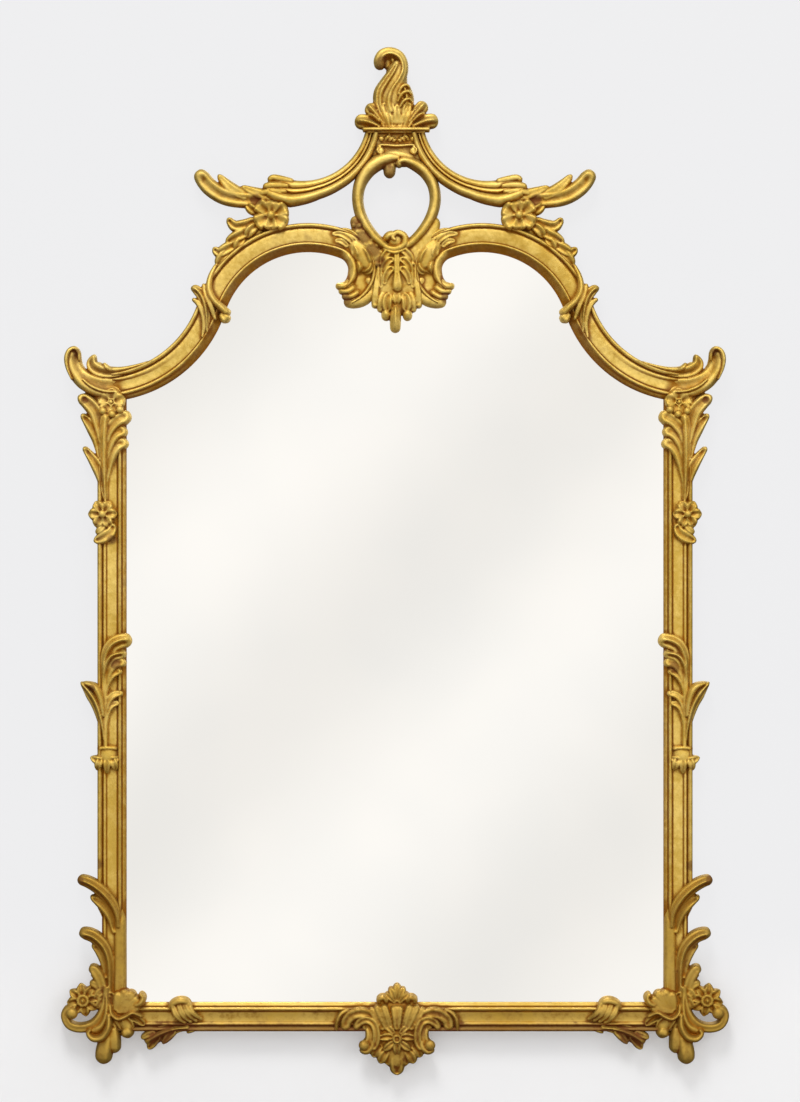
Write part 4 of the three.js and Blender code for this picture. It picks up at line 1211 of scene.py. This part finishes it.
for piece in carvings:
    mesh = piece.data
    places = read_points(mesh.vertices, "co")
    aged = AGED[piece.name.split("_")[-2]]
    store(mesh, "bare", np.maximum(bare_share(places), RUBBED * aged))
    store(mesh, "aged", np.full(len(places), aged))
    normals = read_points(mesh.vertex_normals, "vector")
    near_mean = smoothed(mesh, places, NEAR_PASSES)
    wide_mean = smoothed(mesh, near_mean, WIDE_PASSES)
    proud = ((places - near_mean) * normals).sum(axis=1) / PROUD
    # The far smoother copy finds broad hollows and deep corners, which are darkened as painted
    # shade.
    broad_shade = ((places - wide_mean) * normals).sum(axis=1) / BROAD_SHADE_DEPTH
    tone = MIDDLE_TONE + RELIEF_TONE * proud + RELIEF_TONE * broad_shade
    # Faces that look down get a lower tone: painted shade.
    tone -= UNDERSIDE_SHADE * facing_down(normals)
    store(mesh, "tone", np.clip(tone, 0, 1))
    store(mesh, "rear", facing_wall(normals))
    mesh.shade_smooth()
print("tone stored on", len(carvings), "carvings")

# %% [markdown]
# The rails get the same marks, but their tone comes with the section. Where a carving meets a
# rail, the rail is toned down by its distance to the carving, as painted shade. The bottom rail
# is painted browner than the uprights as shade, except where it looks up; there its tone is
# raised as painted light, and faces that look down are toned down as painted shade. Its lower
# edge, which looks down, gets the red clay as painted shade, and the rest of the bottom rail a
# little of it.

# %% The tone of the rails
AT_WALL = 1e-4
BOTTOM_RAIL, RAIL_BLEND = -0.57, 0.012
LOWER_EDGE, EDGE_BLEND = -0.6005, 0.006
# The bottom rail's extra browning is painted shade.
UPRIGHT_AGED, BOTTOM_SHADE = 0.12, 0.6
# The clay on the bottom rail and along its lower edge is painted shade.
EDGE_SHADE, BOTTOM_CLAY_SHADE = 0.9, 0.7 * RUBBED
# Tone raised on upward faces of the bottom rail is painted light; tone lowered on faces that look
# down is painted shade.
TOP_LIGHT, RAIL_UNDERSIDE_SHADE = 0.3, 0.4 * UNDERSIDE_SHADE
# The rail is darkened near carvings as painted shade.
NEAR_CARVING, CONTACT_SHADE = 4 * MILLIMETRE, 0.25

rail_mesh = rails.data
rail_places = read_points(rail_mesh.vertices, "co")
rail_normals = read_points(rail_mesh.vertex_normals, "vector")
at_wall = rail_places[:, 1] > -AT_WALL
store(rail_mesh, "rear", np.where(at_wall, 1, facing_wall(rail_normals)))
low = np.clip((BOTTOM_RAIL - rail_places[:, 2]) / RAIL_BLEND, 0, 1)
upward = np.clip(rail_normals[:, 2], 0, 1)
# The bottom rail is browned as painted shade, except on faces that look up.
store(rail_mesh, "aged", UPRIGHT_AGED + BOTTOM_SHADE * low * (1 - upward))
# The bottom rail's lower edge, which looks down, and a little of the rest of the bottom rail, get
# the red clay as painted shade.
below = np.clip((LOWER_EDGE - rail_places[:, 2]) / EDGE_BLEND, 0, 1) * EDGE_SHADE
store(rail_mesh, "bare", np.maximum(bare_share(rail_places), np.maximum(below, BOTTOM_CLAY_SHADE * low)))

tree = KDTree(sum(len(piece.data.vertices) for piece in carvings))
for piece in carvings:
    for place in read_points(piece.data.vertices, "co"):
        tree.insert(place, 0)
tree.balance()
gap = np.array([tree.find(place)[2] for place in rail_places])
rail_tone = np.empty(len(rail_places))
rail_mesh.attributes["tone"].data.foreach_get("value", rail_tone)
# On the bottom rail, faces that look up are lightened as painted light, and on all rails faces that
# look down are darkened as painted shade.
rail_tone += TOP_LIGHT * low * upward - RAIL_UNDERSIDE_SHADE * facing_down(rail_normals)
# Near a carving the rail is darkened as painted shade where the parts meet.
contact_shade = np.clip(CONTACT_SHADE + (1 - CONTACT_SHADE) * gap / NEAR_CARVING, 0, 1)
store(rail_mesh, "tone", rail_tone * contact_shade)
print("tone stored on the rails,", len(rail_places), "points")

# %% [markdown]
# Shading is arithmetic on values that vary over the surface. `Value` wraps a socket, so that
# such sums can be written as plain Python; each operator adds one Math node. `Finish` holds a
# material's node tree. Its method `node` adds any other node, and the short methods after it
# add the few that are wanted most.

# %% Writing shaders
GRAIN_ROUGHNESS = 0.55


class Value:
    def __init__(self, tree, socket):
        self.tree, self.socket = tree, socket

    def maths(self, operation, first, second):
        node = self.tree.nodes.new("ShaderNodeMath")
        node.operation = operation
        for socket, given in zip(node.inputs, (first, second)):
            connect(self.tree, socket, given)
        return Value(self.tree, node.outputs[0])

    def __add__(self, other):
        return self.maths("ADD", self, other)

    def __sub__(self, other):
        return self.maths("SUBTRACT", self, other)

    def __rsub__(self, other):
        return self.maths("SUBTRACT", other, self)

    def __mul__(self, other):
        return self.maths("MULTIPLY", self, other)

    __radd__, __rmul__ = __add__, __mul__


def connect(tree, socket, given):
    if isinstance(given, Value):
        tree.links.new(given.socket, socket)
    else:
        socket.default_value = given


class Finish:
    def __init__(self, owner):
        owner.use_nodes = True
        self.owner, self.tree = owner, owner.node_tree
        self.tree.nodes.clear()

    def node(self, kind, settings=None, sockets=None, out=0):
        node = self.tree.nodes.new("ShaderNode" + kind)
        for key, given in (settings or {}).items():
            setattr(node, key, given)
        for key, given in (sockets or {}).items():
            connect(self.tree, node.inputs[key], given)
        return Value(self.tree, node.outputs[out])

    def noise(self, scale, detail):
        place = self.node("TexCoord", out="Object")
        return self.node("TexNoise", {}, {
            "Vector": place, "Scale": scale, "Detail": detail, "Roughness": GRAIN_ROUGHNESS,
        })

    def output(self, shader, kind="Material"):
        end = self.tree.nodes.new("ShaderNodeOutput" + kind)
        self.tree.links.new(shader.socket, end.inputs["Surface"])
        return self.owner

    def band(self, value, low, high):
        return self.node("MapRange", {"interpolation_type": "SMOOTHSTEP"},
                         {"Value": value, "From Min": low, "From Max": high})

    def blend(self, share, first, second):
        return self.node("Mix", {"data_type": "RGBA"}, {0: share, 6: first, 7: second}, out=2)


def colour(red, green, blue):
    def linear(part):
        part /= 255
        return part / 12.92 if part <= 0.04045 else ((part + 0.055) / 1.055) ** 2.4
    return linear(red), linear(green), linear(blue), 1.0


print("shader helpers are ready")

# %% [markdown]
# Gold leaf over red clay. The leaf is a thin bright metal that varies from sheet to sheet and
# has browned on some pieces; on the bottom rail the browning is painted shade. A warm glaze lies
# in the hollows, and the same glaze is laid as painted shade in broad hollows, on faces that
# look down and where carvings meet the rails. The clay shows in streaks where the leaf has worn,
# most in the grooves and here and there on the crowns, and it is laid as painted shade along the
# bottom rail's lower edge. The faces towards the wall are not gilded: they have a wash of ochre
# over the wood.

# %% Gilding
LEAF_LIGHT = colour(242, 213, 122)
LEAF_DEEP = colour(202, 168, 74)
# Browned leaf, also used as painted shade on the bottom rail.
OLD_LEAF_AND_SHADE = colour(158, 120, 44)
# The glaze lies in the hollows and is also laid as painted shade.
GLAZE_AND_SHADE = colour(146, 90, 4)
# The red clay shows where the leaf wore, and is also laid as painted shade on the bottom rail's
# lower edge.
CLAY_AND_SHADE = colour(98, 40, 6)
OCHRE_WASH = colour(150, 118, 70)
BUMP_STRENGTH, BUMP_DEPTH = 0.7, 0.0009
SHARP_EDGE = math.radians(55)


def gilding():
    f = Finish(bpy.data.materials.new("water_gilding"))
    tone, rear, aged, bare = (
        f.node("Attribute", {"attribute_name": name}, out="Fac")
        for name in ("tone", "rear", "aged", "bare")
    )
    broad, patchy, small, fine = f.noise(9, 3), f.noise(70, 5), f.noise(240, 4), f.noise(800, 2)
    sheets = f.band(broad * 0.5 + patchy * 0.4 + small * 0.3, 0.47, 0.74)
    leaf = f.blend(sheets, LEAF_DEEP, LEAF_LIGHT)
    blotches = f.band(patchy * 0.5 + small * 0.5, 0.35, 0.7)
    # The browning also carries the painted shade of the bottom rail.
    browned_and_shaded = f.blend(aged * (0.6 + 0.8 * blotches), leaf, OLD_LEAF_AND_SHADE)
    # The hollows follow the tone, so the glaze here is partly dirt in the hollows and partly
    # painted shade: in broad hollows, on faces that look down and where carvings meet the rails.
    hollow = 1 - f.band(tone + patchy * 0.25 + small * 0.15, 0.34, 0.78)
    glazed_and_shaded = f.blend(hollow * 0.92, browned_and_shaded, GLAZE_AND_SHADE)
    streak = f.band(patchy * 0.8 + broad * 0.5 - tone * 0.5, 0.42, 0.62)
    # The rubbed share follows the attribute of bared places, so on the bottom rail it also lays the
    # red clay as painted shade.
    rubbed_and_shaded = f.band(bare + patchy * 0.5 + small * 0.3 - 0.4, 0.25, 0.75)
    worn_and_shaded = f.band(streak * 0.5 + rubbed_and_shaded * 0.7, 0.05, 0.95)
    clayed_and_shaded = f.blend(worn_and_shaded * 0.8, glazed_and_shaded, CLAY_AND_SHADE)
    face = f.blend(rear, clayed_and_shaded, OCHRE_WASH)
    metal = (0.88 - worn_and_shaded * 0.2) * (1 - rear)
    rough = 0.5 + patchy * 0.16 + hollow * 0.1 + worn_and_shaded * 0.12 + rear * 0.18
    grain = patchy * 0.4 + small * 0.4 + fine * 0.2
    gesso = f.node("Bump", {}, {"Strength": BUMP_STRENGTH, "Distance": BUMP_DEPTH, "Height": grain})
    shader = f.node("BsdfPrincipled", {}, {
        "Base Color": face, "Metallic": metal, "Roughness": rough, "Normal": gesso,
    })
    return f.output(shader)


gold = gilding()
for piece in carvings + [rails]:
    piece.data.materials.clear()
    piece.data.materials.append(gold)
    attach(piece, "root")
    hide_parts("carved_frame")
rails.data.shade_smooth()
rails.data.set_sharp_from_angle(angle=SHARP_EDGE)
print("gilded", len(carvings) + 1, "pieces")

# %% [markdown]
# The glass is a plain plate silvered behind. It reflects nearly all light, with a faint warm
# cast and a haze that comes and goes over the plate. The board behind it is bare pine with its
# grain upright. Both keep the CAD part's flat shapes, so only their materials are new.

# %% Glass and board
PLATE_DIM, PLATE_CLEAR = colour(247, 246, 243), colour(252, 250, 246)
PINE_LIGHT, PINE_DARK = colour(178, 140, 96), colour(142, 104, 66)
GRAIN_STRETCH = (1.0, 1.0, 0.06)


def silvered_glass():
    f = Finish(bpy.data.materials.new("silvered_plate"))
    haze, cast = f.noise(14, 4), f.noise(5, 2)
    tint = f.blend(f.band(cast, 0.3, 0.7), PLATE_DIM, PLATE_CLEAR)
    rough = 0.012 + 0.02 * f.band(haze, 0.45, 0.8)
    shader = f.node("BsdfPrincipled", {}, {"Base Color": tint, "Metallic": 1.0, "Roughness": rough})
    return f.output(shader)


def bare_pine():
    f = Finish(bpy.data.materials.new("bare_pine"))
    place = f.node("TexCoord", out="Object")
    drawn = f.node("Mapping", {}, {"Vector": place, "Scale": GRAIN_STRETCH})
    grain = f.node("TexNoise", {}, {"Vector": drawn, "Scale": 160.0, "Detail": 6.0})
    wave = f.node("TexWave", {"bands_direction": "X"}, {
        "Vector": drawn, "Scale": 5.0, "Distortion": 14.0, "Detail": 4.0,
    })
    year = f.band(f.node("SeparateColor", {}, {"Color": wave}), 0.35, 0.95)
    wood = f.blend(year * 0.35 + f.band(grain, 0.35, 0.75) * 0.6, PINE_LIGHT, PINE_DARK)
    bump = f.node("Bump", {}, {"Strength": 0.3, "Distance": 0.0005, "Height": grain})
    rough = 0.7 + 0.15 * grain
    shader = f.node("BsdfPrincipled", {}, {"Base Color": wood, "Roughness": rough, "Normal": bump})
    return f.output(shader)


for name, finish in (("mirror_glass", silvered_glass()), ("backboard", bare_pine())):
    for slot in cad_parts[name].material_slots:
        slot.material = finish
print("glass and board finished")

# %% [markdown]
# The room has a pale wall behind the mirror and a pale floor. The wall is there for the camera
# alone and shines by itself, so that it stays an even grey. Below the frame it shines less, and
# the mirror's soft shadow shows there. Its reverse is clear, so that the mirror can be looked at
# from behind.

# %% Wall and floor
FLOOR_LEVEL = -0.72
WALL_REACH, FLOOR_REACH, BEHIND_FRAME = 3.0, 6.0, 0.002
WALL_GLOW, GLOW_AT_FOOT = 0.93, 0.25
GLOW_FADES = (0.5, 0.61)
WALL_TINT = (0.755, 0.755, 0.765, 1.0)
GLOW_TINT = (0.85, 0.85, 0.86, 1.0)
FLOOR_TINT = (0.74, 0.74, 0.735, 1.0)
MOTTLE = 0.985


def plain_paint(f, tint):
    mottle = f.noise(3, 3)
    darker = tuple(MOTTLE * part for part in tint[:3]) + (1.0,)
    paint = f.blend(f.band(mottle, 0.3, 0.7), tint, darker)
    return f.node("BsdfPrincipled", {}, {
        "Base Color": paint, "Roughness": 0.9, "Specular IOR Level": 0.1,
    })


def flat_sheet(name, size, matrix, material):
    bm = bmesh.new()
    bmesh.ops.create_grid(bm, x_segments=1, y_segments=1, size=size, matrix=matrix)
    mesh = bpy.data.meshes.new(name)
    bm.to_mesh(mesh)
    bm.free()
    mesh.materials.append(material)
    return add_object(name, mesh)


def wall_paint():
    f = Finish(bpy.data.materials.new("wall_paint"))
    glow = f.node("Emission", {}, {"Color": GLOW_TINT, "Strength": 1.0})
    height = f.node("SeparateXYZ", {}, {0: f.node("TexCoord", out="Object")}, out="Z")
    low = f.band(0 - height, *GLOW_FADES)
    share = WALL_GLOW - (WALL_GLOW - GLOW_AT_FOOT) * low
    lit = f.node("MixShader", {}, {0: share, 1: plain_paint(f, WALL_TINT), 2: glow})
    behind = f.node("NewGeometry", out="Backfacing")
    return f.output(f.node("MixShader", {}, {0: behind, 1: lit, 2: f.node("BsdfTransparent")}))


def floor_paint():
    f = Finish(bpy.data.materials.new("floor_paint"))
    return f.output(plain_paint(f, FLOOR_TINT))


raised = Matrix.Translation((0, BEHIND_FRAME, FLOOR_LEVEL + WALL_REACH))
upright = raised @ Matrix.Rotation(math.radians(90), 4, "X")
wall = flat_sheet("wall", WALL_REACH, upright, wall_paint())
floor = flat_sheet("floor", FLOOR_REACH, Matrix.Translation((0, 0, FLOOR_LEVEL)), floor_paint())
for ray in ("diffuse", "glossy", "transmission", "shadow"):
    setattr(wall, "visible_" + ray, False)
floor.visible_glossy = False
print("wall and floor set")

# %% [markdown]
# Soft light comes from above and in front; a weak lamp fills in from the right, and another from
# behind, so that the back can be seen. What the plate reflects is the light in front of it: an
# even white room with two faint slanting bands, drawn as a sine wave over the direction.

# %% The light
ROOM_TINT = (1.0, 0.99, 0.975, 1.0)
ROOM_LEVEL, DIMMEST = 0.955, 0.1
BAND_PITCH, BAND_SHIFT, BAND_DEPTH = 52.4, 1.95, 0.065
FRONT_AND_UP, SLANT_WAY = (0.0, -0.8, 0.6), (1.0, 0.0, -1.0)

room = bpy.data.worlds.new("soft_room")
bpy.context.scene.world = room
sky = Finish(room)
way = sky.node("TexCoord", out="Generated")
front_up, slant = (
    sky.node("VectorMath", {"operation": "DOT_PRODUCT"}, {0: way, 1: along}, out="Value")
    for along in (FRONT_AND_UP, SLANT_WAY)
)
wave = sky.node("Math", {"operation": "SINE"}, {0: slant * BAND_PITCH - BAND_SHIFT})
level = DIMMEST + (1 - DIMMEST) * sky.band(front_up, -0.35, 0.75)
glow = level * (ROOM_LEVEL + BAND_DEPTH * wave)
sky.output(sky.node("Background", {}, {"Color": ROOM_TINT, "Strength": glow}), "World")


def soft_box(name, place, aim, size, power):
    lamp = bpy.data.lights.new(name, "AREA")
    lamp.shape, lamp.size, lamp.energy = "DISK", size, power
    lit = bpy.data.objects.new(name, lamp)
    lit.location = place
    lit.rotation_mode = "QUATERNION"
    lit.rotation_quaternion = (Vector(aim) - Vector(place)).to_track_quat("-Z", "Y")
    bpy.context.scene.collection.objects.link(lit)


soft_box("overhead", (-0.4, -2.3, 2.6), (0, 0, -0.3), 1.2, 63)
soft_box("side_fill", (1.6, -1.8, 0.6), (0, 0, -0.1), 1.0, 9)
soft_box("back_fill", (0.5, 2.2, 0.9), (0, 0, -0.15), 1.5, 14)
print("light set")

# %% [markdown]
# The camera stands straight in front. At four metres, a lens of 130 mm on a 36 mm frame takes
# in 800 by 1102 mm at the height of the carving, which is the photograph's frame.

# %% Camera and sizes
CAMERA_DISTANCE, SENSOR = 4.0, 36.0
VIEW_HEIGHT, VIEW_X, VIEW_Z = 1.102, 0.005, -0.131
RELIEF = 0.02
camera = bpy.data.objects.new("camera", bpy.data.cameras.new("camera"))
bpy.context.scene.collection.objects.link(camera)
camera.location = (VIEW_X, -CAMERA_DISTANCE, VIEW_Z)
camera.rotation_euler = (math.radians(90), 0, 0)
camera.data.sensor_width = SENSOR
camera.data.lens = SENSOR * (CAMERA_DISTANCE - RELIEF) / VIEW_HEIGHT
bpy.context.scene.camera = camera
bpy.context.scene.view_settings.view_transform = "Standard"
